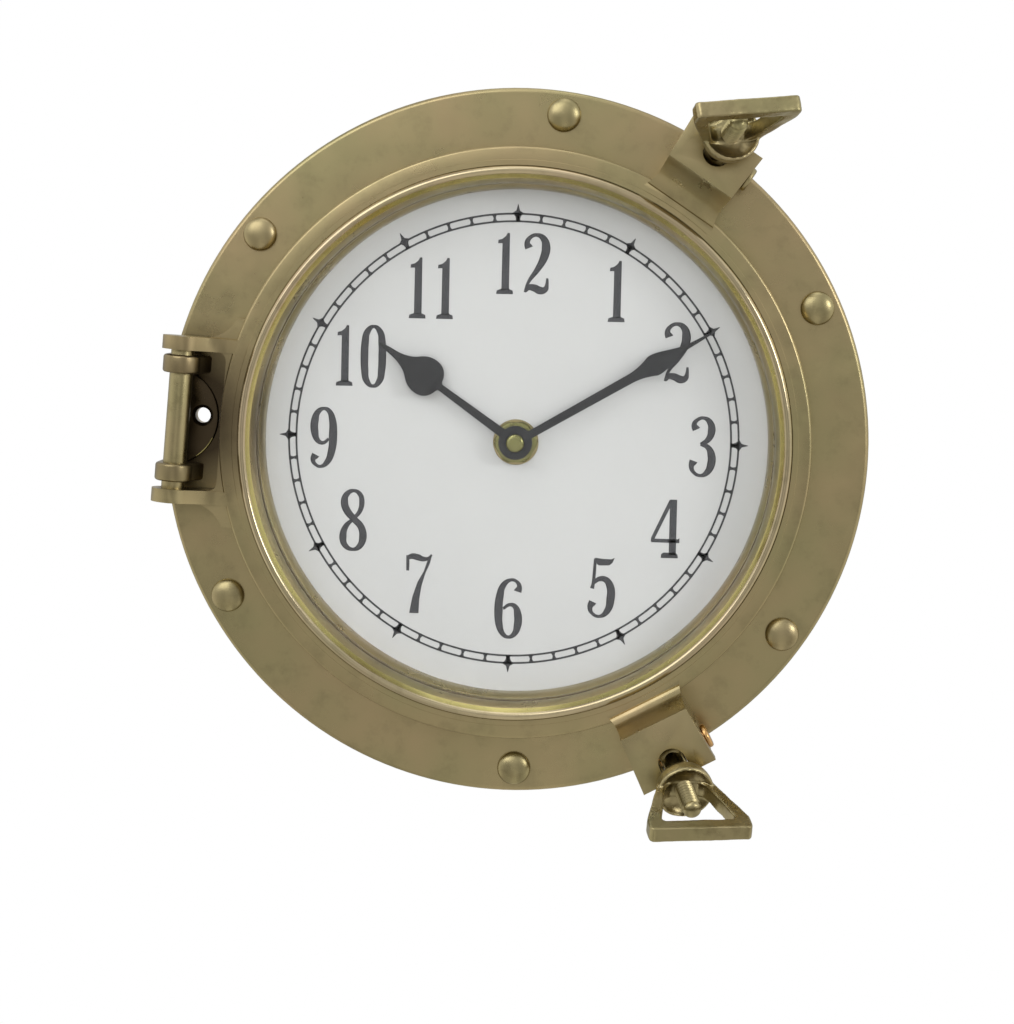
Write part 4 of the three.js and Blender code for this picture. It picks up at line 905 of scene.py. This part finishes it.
thread = []
height = THREAD_FROM
while height < THREAD_TO:
    thread += [(2.3, height), (3.0, height + 0.6), (3.0, height + 0.75), (2.3, height + 1.3)]
    height += PITCH
bolt_pattern = lathe("bolt", [
    (0, 0), (3.0, 0), (3.0, THREAD_FROM - 0.4), *thread, (2.7, 31.0),
    *curve((2.7, 31.0), (2.4, 32.4), (0, 32.5), 7)[1:],
], 40)
eye = side_plate("eye", arc(0, 0, 4.9, 0, 351, 39), 0, 7)
round_edges(eye, 0.6)
bolt_pattern = join_shells("bolt", [bolt_pattern, eye])
print("bolt faces:", len(bolt_pattern.data.polygons))

# %% Cast a nut, and copy bolt and nut to both places
DOG_TILT = {"upper": 19.5, "lower": 25}
NUT_TURN = {"upper": 41, "lower": -30}
NUT_PLACE = 15

outline = mirrored([
    *curve((5, 1), (8.6, 3), (9.6, 8), 6), (15.3, 23.5), (15.3, 28), (14.3, 29),
])
window = mirrored([
    *curve((4, 5), (6.4, 6.2), (7.2, 10.2), 5),
    *curve((10.9, 22.9), (10.9, 24.5), (9.3, 24.5), 4),
])
nut_pattern = sawn("loop", outline, -2.3, 2.3)
cut(nut_pattern, sawn("window", window, -10, 10))
# Stand the loop up: its height becomes Z and its bar runs along Y.
move(nut_pattern, about_clock(90) @ UPRIGHT)
collar = lathe("collar", [
    (0, -0.9), (4.6, -0.9), *curve((4.6, -0.9), (7.3, -0.2), (8.2, 3.0), 6)[1:],
    *curve((8.2, 3.0), (8.6, 5.0), (8.7, 6.6), 4)[1:], (8.0, 7.4),
    *curve((8.0, 7.4), (7.0, 5.0), (4.2, 4.6), 5)[1:], (0, 4.6),
], 40)
nut_pattern = join_shells("nut", [nut_pattern, collar])
apply_modifier(nut_pattern, "REMESH", mode="VOXEL", voxel_size=0.32)
apply_modifier(nut_pattern, "SMOOTH", factor=0.5, iterations=9)
lumps = bpy.data.textures.new("cast_lumps", "CLOUDS")
lumps.noise_scale = 5.0
apply_modifier(nut_pattern, "DISPLACE", texture=lumps, strength=0.35, mid_level=0.5)

for which, place in PIVOT_PLACE.items():
    lean = place @ Matrix.Rotation(math.radians(DOG_TILT[which]), 4, "Y")
    bolt = copy_of(bolt_pattern, "swing_bolt_%s" % which)
    move(bolt, lean)
    finish(bolt, dark_brass, which + "_bolt", "dog_bolt_" + which)
    nut = copy_of(nut_pattern, "loop_nut_%s" % which)
    move(nut, lean @ shift(z=NUT_PLACE) @ about_clock(NUT_TURN[which]))
    finish(nut, dark_brass, which + "_nut", "dog_nut_" + which, smooth=60)
print("nut faces:", len(nut_pattern.data.polygons))
for pattern in (bolt_pattern, nut_pattern):
    bpy.data.objects.remove(pattern)

# %% [markdown]
# ## The dial's print
#
# The dial is plain white card. Its print is one black ink: a track of sixty rounded boxes
# between two thin rings, a spike at each hour, and condensed numerals with thick sides,
# thin joins and ball ends. The words on the real dial are left out.
#
# A numeral with thick and thin strokes can be drawn as an outline, or with a pen. The pen
# is used here: a smooth curve through a few points, each with its own half width. The
# curve becomes a tube that is pressed flat on the dial.

# %% Ink tools
DIAL_TOP = 26.2
INK_LOW = DIAL_TOP + 0.01
INK_TOP = DIAL_TOP + 0.05
PRINT_TURN = -1.3
PRINT_SHIFT = shift(x=-0.88, y=0.62)


def pen(points):
    """A stroke through (x, y, half width) points, closed if it ends where it starts."""
    closed = points[0] == points[-1]
    if closed:
        points = points[:-1]
    deselect_all()
    line = bpy.data.curves.new("stroke", "CURVE")
    line.dimensions = "3D"
    line.resolution_u = 7
    line.bevel_depth = 1.0
    line.bevel_resolution = 2
    line.use_fill_caps = not closed
    spline = line.splines.new("BEZIER")
    spline.bezier_points.add(len(points) - 1)
    spline.use_cyclic_u = closed
    for knot, (x, y, half) in zip(spline.bezier_points, points):
        knot.co = (x, y, 0)
        knot.radius = half
        knot.handle_left_type = knot.handle_right_type = "AUTO"
    tube = bpy.data.objects.new("stroke", line)
    scene.collection.objects.link(tube)
    select_only(tube)
    bpy.ops.object.convert(target="MESH")
    flat = shift(z=(INK_LOW + INK_TOP) / 2) @ Matrix.Scale(0.015, 4, (0, 0, 1))
    return move(bpy.context.object, flat)


def inked(points):
    """Ink along a pen's way of (x, y, half width), or inside an outline of (x, y)."""
    if len(points[0]) == 3:
        return pen(points)
    return sawn("patch", points, INK_LOW, INK_TOP)


print("pen ready")

# %% The numerals, one small drawing each
# Each digit is a list of strokes and outlines, in millimetres about its middle.
DIGITS = {
    "1": [[
        (-1, -8), (-0.95, 6.2), (-2.3, 6.1), (-2.2, 7.2), (-1, 7.5), (0.1, 8.4), (0.6, 9.4),
        (1.3, 9.3), (1.35, -8),
    ], [
        (-2.6, -9.3), (2.6, -9.3), (2.5, -8.2), (1.35, -7.7), (-1, -7.7), (-2.4, -8.2),
    ]],
    "2": [[
        (-2.4, 4.9, 1.25), (-3, 6.4, 0.85), (-2.1, 8.1, 0.6), (-0.1, 8.9, 0.55), (2, 7.8, 1),
        (2.8, 5.2, 1.35), (2.2, 2, 1.25), (0.2, -1.8, 0.85), (-2.3, -5.4, 0.5), (-3.4, -8.6, 0.4),
    ], [
        (-3.2, -8.3, 0.5), (-2.4, -7.2, 0.85), (-0.6, -7.2, 1.1), (1.4, -8, 1.2), (2.8, -7.6, 0.9),
        (3.3, -6.2, 0.55), (3.4, -4.2, 0.35),
    ]],
    "3": [[
        (-1.9, 5.3, 1.25), (-2.6, 6.8, 0.8), (-1.6, 8.3, 0.55), (0.3, 8.9, 0.5), (2.2, 7.6, 0.95),
        (2.8, 5.2, 1.2), (1.8, 2.3, 0.9), (-0.5, 0.8, 0.45),
    ], [
        (-0.5, 0.8, 0.45), (1.7, 0, 0.8), (2.9, -2.4, 1.2), (2.9, -5.2, 1.25), (1.8, -7.7, 0.95),
        (-0.2, -8.8, 0.5), (-2.4, -7.8, 0.55), (-3.1, -6, 0.8), (-2.5, -4.3, 1.3),
    ]],
    "4": [[
        (1.1, -8), (3.3, -8), (3.3, 9.2), (1.1, 9.2),
    ], [
        (1.3, 9.2), (1.2, 6.8), (-3.3, -2.9), (-4.5, -4), (-4.4, -2.6), (0.9, 9),
    ], [
        (-4.4, -4.1), (4.3, -4.2), (4.3, -2.6), (3.8, -3), (-3.7, -2.95),
    ], [
        (-1.3, -8.9), (4, -8.9), (3.8, -7.7), (3, -7.2), (-0.5, -7.2), (-1.2, -7.7),
    ]],
    "5": [[
        (-1.8, 9.3), (-1.2, 7.4), (-0.6, 6.9), (2.6, 7), (3.6, 7.8), (4.3, 9.4), (3.2, 8.9),
        (0.5, 9),
    ], [
        (-1.7, 9, 0.45), (-1.9, 5, 0.5), (-2.2, 1.2, 0.5), (-2.5, -0.3, 0.65),
    ], [
        (-2.1, 1.4, 0.5), (-0.4, 2.7, 0.75), (1.7, 2.5, 0.95), (3.1, 0.4, 1.2), (3.3, -3.2, 1.3),
        (2.3, -7.2, 1), (0, -8.9, 0.5), (-2.3, -8, 0.5), (-3, -6.2, 0.8), (-2.2, -4.4, 1.25),
    ]],
    "6": [[
        (2.8, 5.2, 1.25), (3.3, 6.8, 0.75), (2.3, 8.4, 0.5), (0.6, 8.8, 0.5), (-1.6, 7.2, 0.9),
        (-2.7, 3.6, 1.2), (-3, -1, 1.3), (-2.6, -5.6, 1.1), (-1.4, -8.2, 0.75), (0.2, -9, 0.5),
        (2, -8, 0.85), (3, -5.2, 1.2), (3, -2, 1.2), (2, 0.6, 0.8), (0.5, 1.1, 0.55),
        (-1.6, -0.2, 0.45),
    ]],
    "7": [[
        (-3, 8.9, 0.45), (-2.9, 6.4, 0.5), (-2.9, 4.1, 0.45),
    ], [
        (-3, 8, 0.55), (-1.6, 8.6, 0.9), (0.2, 8.3, 1), (2, 7.8, 0.75), (3.6, 8.2, 0.45),
        (4.5, 9.2, 0.35),
    ], [
        (4.6, 9.2), (4, 6.6), (2.6, 3.4), (1.5, -0.5), (0.9, -4.5), (0.7, -9.1), (-2.2, -9.1),
        (-1.3, -4), (0.2, 0.6), (2.1, 4), (3.2, 7.4),
    ]],
    "8": [[
        (0.3, 9.1, 0.5), (-1.9, 8.1, 0.85), (-2.7, 5.6, 1.15), (-1.8, 2.8, 1.15), (0.4, 0.3, 1),
        (2.6, -2.1, 1.05), (3.2, -5.2, 1.2), (2.2, -8.1, 0.9), (0.2, -9.1, 0.5), (-2.2, -8, 0.85),
        (-3, -5.2, 1.15), (-2.2, -2.1, 0.85), (0, 0.3, 0.5), (2, 2.6, 0.7), (2.7, 5.6, 0.85),
        (2.1, 8, 0.75), (0.3, 9.1, 0.5),
    ]],
    "9": [[
        (-2, -5.4, 1.25), (-2.8, -7, 0.75), (-1.8, -8.6, 0.5), (-0.3, -9, 0.5), (1.6, -7.6, 0.9),
        (2.9, -4.2, 1.15), (3.3, 1, 1.3), (3, 5.6, 1.1), (1.9, 8.2, 0.75), (0.4, 8.9, 0.5),
        (-1.4, 7.9, 0.85), (-2.4, 5.2, 1.2), (-2.4, 1.8, 1.2), (-1.4, -1, 0.8), (0.2, -1.7, 0.55),
        (2, -0.4, 0.45),
    ]],
    "0": [[
        (0, 9.1, 0.5), (-1.9, 7.6, 0.95), (-2.6, 4.2, 1.15), (-2.75, 0, 1.2), (-2.6, -4.2, 1.15),
        (-1.9, -7.7, 0.95), (0, -9.2, 0.5), (1.9, -7.7, 0.95), (2.6, -4.2, 1.15), (2.75, 0, 1.2),
        (2.6, 4.2, 1.15), (1.9, 7.6, 0.95), (0, 9.1, 0.5),
    ]],
}

# Each numeral has its place on the dial, and then each digit's place along it.
NUMERALS = {
    "1": ((31.55, 45.5), (0.2,)),
    "2": ((49.85, 26.7), (0.3,)),
    "3": ((57.85, -2), (0.2,)),
    "4": ((47.05, -27.4), (0,)),
    "5": ((26.95, -45.6), (0,)),
    "6": ((-1.45, -52.1), (0,)),
    "7": ((-29.8, -44.7), (0,)),
    "8": ((-49.65, -24.9), (0.1,)),
    "9": ((-58.95, 0.7), (0.1,)),
    "10": ((-47.25, 25.8), (-4.6, 4.3)),
    "11": ((-25.25, 46.5), (-4, 4.4)),
    "12": ((3.2, 53.9), (-5.6, 4)),
}
ink = []
for numeral, (place, offsets) in NUMERALS.items():
    on_dial = PRINT_SHIFT @ shift(*place) @ about_clock(PRINT_TURN)
    for digit, across in zip(numeral, offsets):
        for points in DIGITS[digit]:
            ink.append(move(inked(points), on_dial @ shift(x=across)))
print("strokes in the numerals:", len(ink))

# %% The track of sixty boxes, with a spike at each hour
TRACK_INNER = 66.9
TRACK_OUTER = 69.2
marks = [
    ring("track", middle - 0.3, middle + 0.3, INK_LOW, INK_TOP, 180)
    for middle in (TRACK_INNER, TRACK_OUTER)
]
divider = inked(mirrored([
    (67.0, -1.1), (67.35, -0.55), (68.05, -0.36), (68.75, -0.55), (69.1, -1.1),
], IN_Y))
spike = inked(mirrored([
    (66.8, -0.45), (68.3, -0.8), (69.4, -1.7), (70.2, -0.55), (71.2, -0.3), (72.1, -0.1),
], IN_Y))
for pattern, count in ((divider, 60), (spike, 12)):
    for i in range(count):
        turn = about_clock(90 - 360 / count * i + PRINT_TURN)
        marks.append(move(copy_of(pattern, "mark"), turn))
    bpy.data.objects.remove(pattern)
for mark in marks:
    move(mark, PRINT_SHIFT)
dial_print = join_shells("dial_print", ink + marks)
finish(dial_print, print_black, "fixed_clock", smooth=0)
print("print faces:", len(dial_print.data.polygons))

# %% [markdown]
# ## Washer, nut and hands
#
# A rounded hexagon nut on a washer clamps the movement to the dial. The hands are stamped
# from thin sheet and painted black: a spade for the hours and a long leaf for the minutes,
# each with a round hub. A domed cap nut holds them on the arbor. The hands' outlines are
# curves through a few points, drawn on one side and mirrored.

# %% Make the washer, the nut and the cap
washer = lathe("washer", [(4, 26.3), (7, 26.3), (7, 26.62), (6.8, 26.8), (4, 26.8)], 64)
finish(washer, dark_brass, "fixed_clock", "dial_washer")

NUT_LOW, NUT_HIGH = 26.9, 28.8
hexagon = sawn("hexagon_nut", arc(0, 0, 7.1, 0, 300, 5), NUT_LOW, NUT_HIGH)
turning = lathe("turning", [
    (0, NUT_LOW - 1), (6.6, NUT_LOW - 1), (6.6, NUT_HIGH - 0.45), (6.0, NUT_HIGH + 0.05),
    (0, NUT_HIGH + 0.05),
], 96)
keep_inside(hexagon, turning)
cut(hexagon, ring("nut_bore", 0, 4, 20, 40, 48))
round_edges(hexagon, 0.12, 2)
finish(hexagon, olive_brass, "fixed_clock", "dial_nut")

CAP_LOW, CAP_TOP = 31.8, 33.6
cap = lathe("cap_nut", [
    (0.95, CAP_LOW), (2.5, CAP_LOW), (2.75, CAP_LOW + 0.25), (2.75, CAP_TOP - 0.75),
    *curve((2.75, CAP_TOP - 0.75), (2.65, CAP_TOP - 0.1), (1.4, CAP_TOP - 0.03), 6)[1:],
    (0, CAP_TOP), (0, CAP_TOP - 0.5), (0.95, CAP_TOP - 0.5),
], 64)
finish(cap, olive_brass, "minute_group", "hand_cap_nut", smooth=60)
print("nut and cap done")

# %% Stamp the hands


def hand_blade(name, side, level, bore):
    """A flat blade with its hub, rounded at the edges by the paint."""
    thickness = 0.6
    blade = sawn(name, mirrored(side), level, level + thickness)
    fuse(blade, ring("hub", 0, 5.15, level, level + thickness, 128))
    cut(blade, ring("bore", 0, bore, 20, 40, 48))
    return round_edges(blade, 0.14, 2)


def curves_to(start, *steps):
    """Points along a chain of curves, each with a handle and an end."""
    points = [start]
    for handle, end in steps:
        points += curve(points[-1], handle, end)[1:]
    return points


HOUR_TIP = 51.9
MINUTE_TIP = 68.9
hour_side = curves_to(
    (1.45, 0),
    ((1.3, 14), (1.05, HOUR_TIP - 23.6)),
    ((1.1, HOUR_TIP - 22.9), (2.6, HOUR_TIP - 22.6)),
    ((6.0, HOUR_TIP - 21.3), (6.0, HOUR_TIP - 17.7)),
    ((6.0, HOUR_TIP - 14.6), (3.4, HOUR_TIP - 12.2)),
    ((1.2, HOUR_TIP - 9.4), (0.95, HOUR_TIP - 4.6)),
    ((0.6, HOUR_TIP - 1.5), (0.25, HOUR_TIP)),
)
minute_side = curves_to(
    (1.2, 0),
    ((1.25, 20), (1.45, MINUTE_TIP - 28.2)),
    ((1.6, MINUTE_TIP - 24.6), (3.2, MINUTE_TIP - 21.0)),
    ((3.5, MINUTE_TIP - 19.6), (2.7, MINUTE_TIP - 16.6)),
    ((1.5, MINUTE_TIP - 12.4), (0.75, MINUTE_TIP - 9.9)),
    ((0.5, MINUTE_TIP - 4), (0.3, MINUTE_TIP)),
)
hour_hand = hand_blade("spade_hour_hand", hour_side, 29.5, 2.4)
move(hour_hand, about_clock(-306.3))
finish(hour_hand, hand_black, "hour_group", "hour_hand", smooth=50)
minute_hand = hand_blade("leaf_minute_hand", minute_side, 31.0, 0.95)
move(minute_hand, about_clock(-60.7))
finish(minute_hand, hand_black, "minute_group", "minute_hand", smooth=50)
print("hands done")

# %% [markdown]
# ## Behind the dial: board and hanger
#
# The dial is glued to a disc of hardboard, and four pan head screws hold the board behind
# the lip. A steel hanger plate with a keyhole crosses the top of the drum. Its two tabs
# are bent forward and screwed through the drum's wall. A bent tab could be drawn as a
# curve, but a thick plate with a rounded outer edge looks the same and stays simple.

# %% Cut the board
DIAL_RADIUS = 80
BOARD_BACK, BOARD_FRONT = 21.6, 25.6
SCREW_CIRCLE = 78.6
SCREW_ANGLES = (45, 135, 225, 315)

board = lathe("hardboard_disc", [
    (4.1, BOARD_BACK), (DIAL_RADIUS - 0.5, BOARD_BACK), (DIAL_RADIUS, BOARD_BACK + 0.5),
    (DIAL_RADIUS, BOARD_FRONT), (4.1, BOARD_FRONT),
], 160)
for angle in SCREW_ANGLES:
    drill = ring("drill", 0, 1, 15, 30)
    cut(board, move(drill, about_clock(angle) @ shift(x=SCREW_CIRCLE)))
finish(board, board_brown, "fixed_clock", "dial_board")


def cross_tools(size, width, top, depth):
    """Two bars that press a cross into a screw's head."""
    bars = []
    for turn in (0, 90):
        press = bar("press", -size, -width, size, width, top - depth, top + 1)
        bars.append(move(press, about_clock(turn)))
    return bars


def pan_screw(name, head, height, shank, length):
    """A pan head screw whose head stands on Z = 0 and whose shank points down."""
    screw = lathe(name, [
        (0, -length), (shank * 0.6, -length), (shank, -length + shank), (shank, 0), (head, 0),
        *curve((head, 0), (head, height), (head * 0.35, height), 6)[1:], (0, height),
    ], 32)
    return cut(screw, *cross_tools(head * 0.5, head * 0.11, height, height * 0.5))


for number, angle in enumerate(SCREW_ANGLES, 1):
    screw = pan_screw("pan_screw_%d" % number, 1.8, 1.35, 0.9, 7.7)
    over = Matrix.Rotation(math.pi, 4, "X")
    place = about_clock(angle) @ shift(x=SCREW_CIRCLE, z=BOARD_BACK - 0.1)
    move(screw, place @ over @ about_clock(20 * number))
    finish(screw, zinc_steel, "fixed_clock", "board_screw_%d" % number)
print("board and its screws done")

# %% Cut and bend the hanger plate
HANGER_LOW, HANGER_HIGH = 0.2, 1.7
HANGER_REACH = 80.35
HANGER_EDGE = 63
HANGER_HALF = 23
SCREW_LEVEL = 5.2
TAB_ANGLES = {"right": 76, "left": 104}

half_angle = math.degrees(math.asin(HANGER_HALF / HANGER_REACH))
hanger = sawn("keyhole_hanger", [
    *arc(2 - HANGER_HALF, HANGER_EDGE + 2, 2, 180, 270, 5),
    *arc(HANGER_HALF - 2, HANGER_EDGE + 2, 2, 270, 360, 5),
    *arc(0, 0, HANGER_REACH, 90 - half_angle, 90 + half_angle, 24),
], HANGER_LOW, HANGER_HIGH)
tabs = []
for angle in TAB_ANGLES.values():
    out = HANGER_REACH - 0.1
    tab = side_plate("tab", [
        (out - 4, HANGER_LOW), (out - 1, HANGER_LOW), *arc(out - 1, HANGER_LOW + 1, 1, 270, 360, 4),
        (out, 9), (out - 1.5, 9), (out - 1.5, HANGER_HIGH + 0.5),
        *arc(out - 2, HANGER_HIGH + 0.5, 0.5, 0, -90, 3)[1:], (out - 4, HANGER_HIGH),
    ], 0, 8)
    tabs.append(move(tab, about_clock(angle)))
fuse(hanger, *tabs)
keyhole = [
    *arc(0, 69, 4.6, 122, 418, 24), *arc(0, 75, 2.4, 0, 180, 12),
]
cut(hanger, sawn("keyhole", keyhole, -5, 6))
for angle in TAB_ANGLES.values():
    drill = ring("drill", 0, 1.25, 70, 90)
    lay = about_clock(angle) @ shift(z=SCREW_LEVEL) @ Matrix.Rotation(math.pi / 2, 4, "Y")
    cut(hanger, move(drill, lay))
round_edges(hanger, 0.18, 2)
finish(hanger, zinc_steel, "fixed_clock", "hanger_plate")

for side, angle in TAB_ANGLES.items():
    screw = pan_screw("hanger_pan_screw_" + side, 2.4, 1.5, 1.2, 6.7)
    lay = Matrix.Rotation(math.pi / 2, 4, "Y")
    move(screw, about_clock(angle) @ shift(x=84.05, z=SCREW_LEVEL) @ lay @ about_clock(30))
    finish(screw, zinc_steel, "fixed_clock", "hanger_screw_" + side)
print("hanger done")

# %% [markdown]
# ## The movement
#
# Behind the board sits a common battery movement: a square black case with a bay for one
# cell, a back plate with the setting knob, and folded spring contacts. Its wheels are in
# the fixed frame and keep their exact teeth, because no one can see them without taking
# the case apart. The case is moulded, so its corners and edges are round.

# %% Mould the case
CASE_BACK, CASE_FRONT = 5.3, 20.8
COVER_FRONT, CASE_INNER = 6.7, 19.4
CASE_HALF, CASE_INSIDE = 28.5, 27.1
BAY_TOP = -11.2
BUSH_TOP = 29.1


def rounded_box(name, x0, x1, y0, y1, low, high, corner):
    """A box whose upright edges are arcs."""
    outline = (
        arc(x1 - corner, y1 - corner, corner, 0, 90, 6)
        + arc(x0 + corner, y1 - corner, corner, 90, 180, 6)
        + arc(x0 + corner, y0 + corner, corner, 180, 270, 6)
        + arc(x1 - corner, y0 + corner, corner, 270, 360, 6)
    )
    return sawn(name, outline, low, high)


case = rounded_box(
    "moulded_case", -CASE_HALF, CASE_HALF, -CASE_HALF, CASE_HALF, CASE_BACK, CASE_FRONT, 2.5,
)
round_edges(case, 0.5, 3)
wheel_room = rounded_box(
    "room", -CASE_INSIDE, CASE_INSIDE, BAY_TOP, CASE_INSIDE, CASE_BACK - 1, CASE_INNER, 1.5,
)
bay = rounded_box(
    "bay", -CASE_INSIDE, CASE_INSIDE, -CASE_INSIDE, BAY_TOP - 1, CASE_BACK - 1, CASE_INNER, 1.2,
)
rebate = rounded_box(
    "rebate", -CASE_INSIDE - 0.6, CASE_INSIDE + 0.6, BAY_TOP - 0.7, CASE_INSIDE + 0.6,
    CASE_BACK - 1, COVER_FRONT + 0.2, 1.8,
)
cut(case, wheel_room, bay, rebate)
bush_section = [(0, CASE_FRONT - 1), (3.9, CASE_FRONT - 1), (3.9, CASE_FRONT + 0.4)]
level = CASE_FRONT + 0.4
while level < BUSH_TOP - 0.9:
    bush_section += [(3.62, level + 0.35), (3.9, level + 0.7)]
    level += 0.7
bush_section += [(3.62, BUSH_TOP - 0.2), (3.62, BUSH_TOP), (0, BUSH_TOP)]
fuse(case, lathe("bush", bush_section, 48))
cut(case, ring("bore", 0, 2.4, 0, 40, 40))
finish(case, black_plastic, "fixed_clock", "movement_case")
print("case faces:", len(case.data.polygons))

# %% Mould the cover, the knob and the gasket
MOTION_X = -9.6
cover = rounded_box(
    "back_cover", -27.5, 27.5, BAY_TOP - 0.5, 27.5, CASE_BACK, COVER_FRONT, 1.6,
)
well = ring("well", 0, 7.2, CASE_BACK - 1, CASE_BACK + 0.35, 64)
for tool in (well, ring("hole", 0, 1, 0, 40)):
    cut(cover, move(tool, shift(x=MOTION_X)))
round_edges(cover, 0.25, 2)
finish(cover, black_plastic, "fixed_clock", "movement_cover")

grips = []
for i in range(36):
    radius = 5.5 if i % 2 else 5.1
    grips.append((radius * math.cos(math.radians(10 * i)), radius * math.sin(math.radians(10 * i))))
knob = sawn("setting_knob_grip", grips, CASE_BACK - 3.6, CASE_BACK - 0.4)
dish = lathe("dish", [
    (0, CASE_BACK - 5), (4.3, CASE_BACK - 5), (4.1, CASE_BACK - 3.1), (0, CASE_BACK - 3.1),
], 48)
cut(knob, dish, ring("bore", 0, 0.95, CASE_BACK - 1.2, 9))
round_edges(knob, 0.2, 2)
move(knob, shift(x=MOTION_X))
finish(knob, black_plastic, "setting_group", "setting_knob")

gasket = ring("gasket_ring", 4.1, 14, 20.9, 21.5, 64)
finish(gasket, black_rubber, "fixed_clock", "movement_gasket")
print("cover and knob done")

# %% [markdown]
# ### Cell and contacts
#
# One AA cell lies in the bay between two folded spring strips. Its sleeve has a dark body
# and a copper coloured band at the positive end, with bare steel at both ends.

# %% Turn the cell and fold its contacts
CELL_RADIUS, CELL_HALF = 7.1, 24.6
CELL_UP, CELL_LEVEL = -19.65, 12.1
BAND_START, END_RADIUS = 9.5, 6.2

cell = lathe("aa_cell", [
    (0, -CELL_HALF), (5.6, -CELL_HALF), (5.8, -CELL_HALF + 0.25), (6.5, -CELL_HALF + 0.25),
    (CELL_RADIUS, -CELL_HALF + 0.8), (CELL_RADIUS, BAND_START), (CELL_RADIUS, CELL_HALF - 1.7),
    (6.5, CELL_HALF - 1.15), (5.4, CELL_HALF - 1.1), (2.75, CELL_HALF - 1.0),
    (2.75, CELL_HALF - 0.3), (2.4, CELL_HALF), (0, CELL_HALF),
], 64)
move(cell, shift(y=CELL_UP, z=CELL_LEVEL) @ Matrix.Rotation(math.pi / 2, 4, "Y"))
finish(cell, battery_sleeve, "fixed_clock", "battery")
coat(cell, battery_sleeve, battery_band, zinc_steel)
for face in cell.data.polygons:
    across = face.center.x * 1000
    from_axis = math.hypot(face.center.z * 1000 - CELL_UP, face.center.y * 1000 + CELL_LEVEL)
    if from_axis < END_RADIUS:
        face.material_index = 2
    elif across > BAND_START:
        face.material_index = 1

for name, side in (("contact_negative", -1), ("contact_positive", 1)):
    far, near = 27.0, 24.8
    strip = side_plate("spring_" + name, [
        (far, -5), (far, 5), (far - 0.4, 5), (near + 0.5, 1.6),
        *curve((near + 0.5, 1.6), (near, 0), (near + 0.5, -1.6))[1:], (far - 0.4, -5),
    ], 0, 8)
    round_edges(strip, 0.12, 2)
    if side < 0:
        move(strip, about_clock(180))
    move(strip, shift(y=CELL_UP, z=CELL_LEVEL))
    finish(strip, zinc_steel, "fixed_clock", name)
print("cell and contacts done")

# %% [markdown]
# ## What stays as it is
#
# The dial card, the glass and everything inside the closed movement keep their exact form
# from the fixed frame. They only get their finishes.

# %% Give the remaining pieces their finishes
KEPT = (
    (dial_white, "dial_face"),
    (clear_glass, "door_glass"),
    (seal_brown, "glass_seal"),
    (zinc_steel, "stator", "quartz_crystal", "rotor", "minute_arbor"),
    (copper_wire, "motor_coil"),
    (board_green, "circuit_board"),
    (black_plastic, "hour_wheel"),
    (white_plastic, "fifth_wheel", "fourth_wheel", "third_wheel", "centre_wheel",
     "motion_wheel"),
)
for material, *names in KEPT:
    for node in names:
        coat(bpy.data.objects[node], material)
print("finishes on kept pieces:", sum(len(row) - 1 for row in KEPT))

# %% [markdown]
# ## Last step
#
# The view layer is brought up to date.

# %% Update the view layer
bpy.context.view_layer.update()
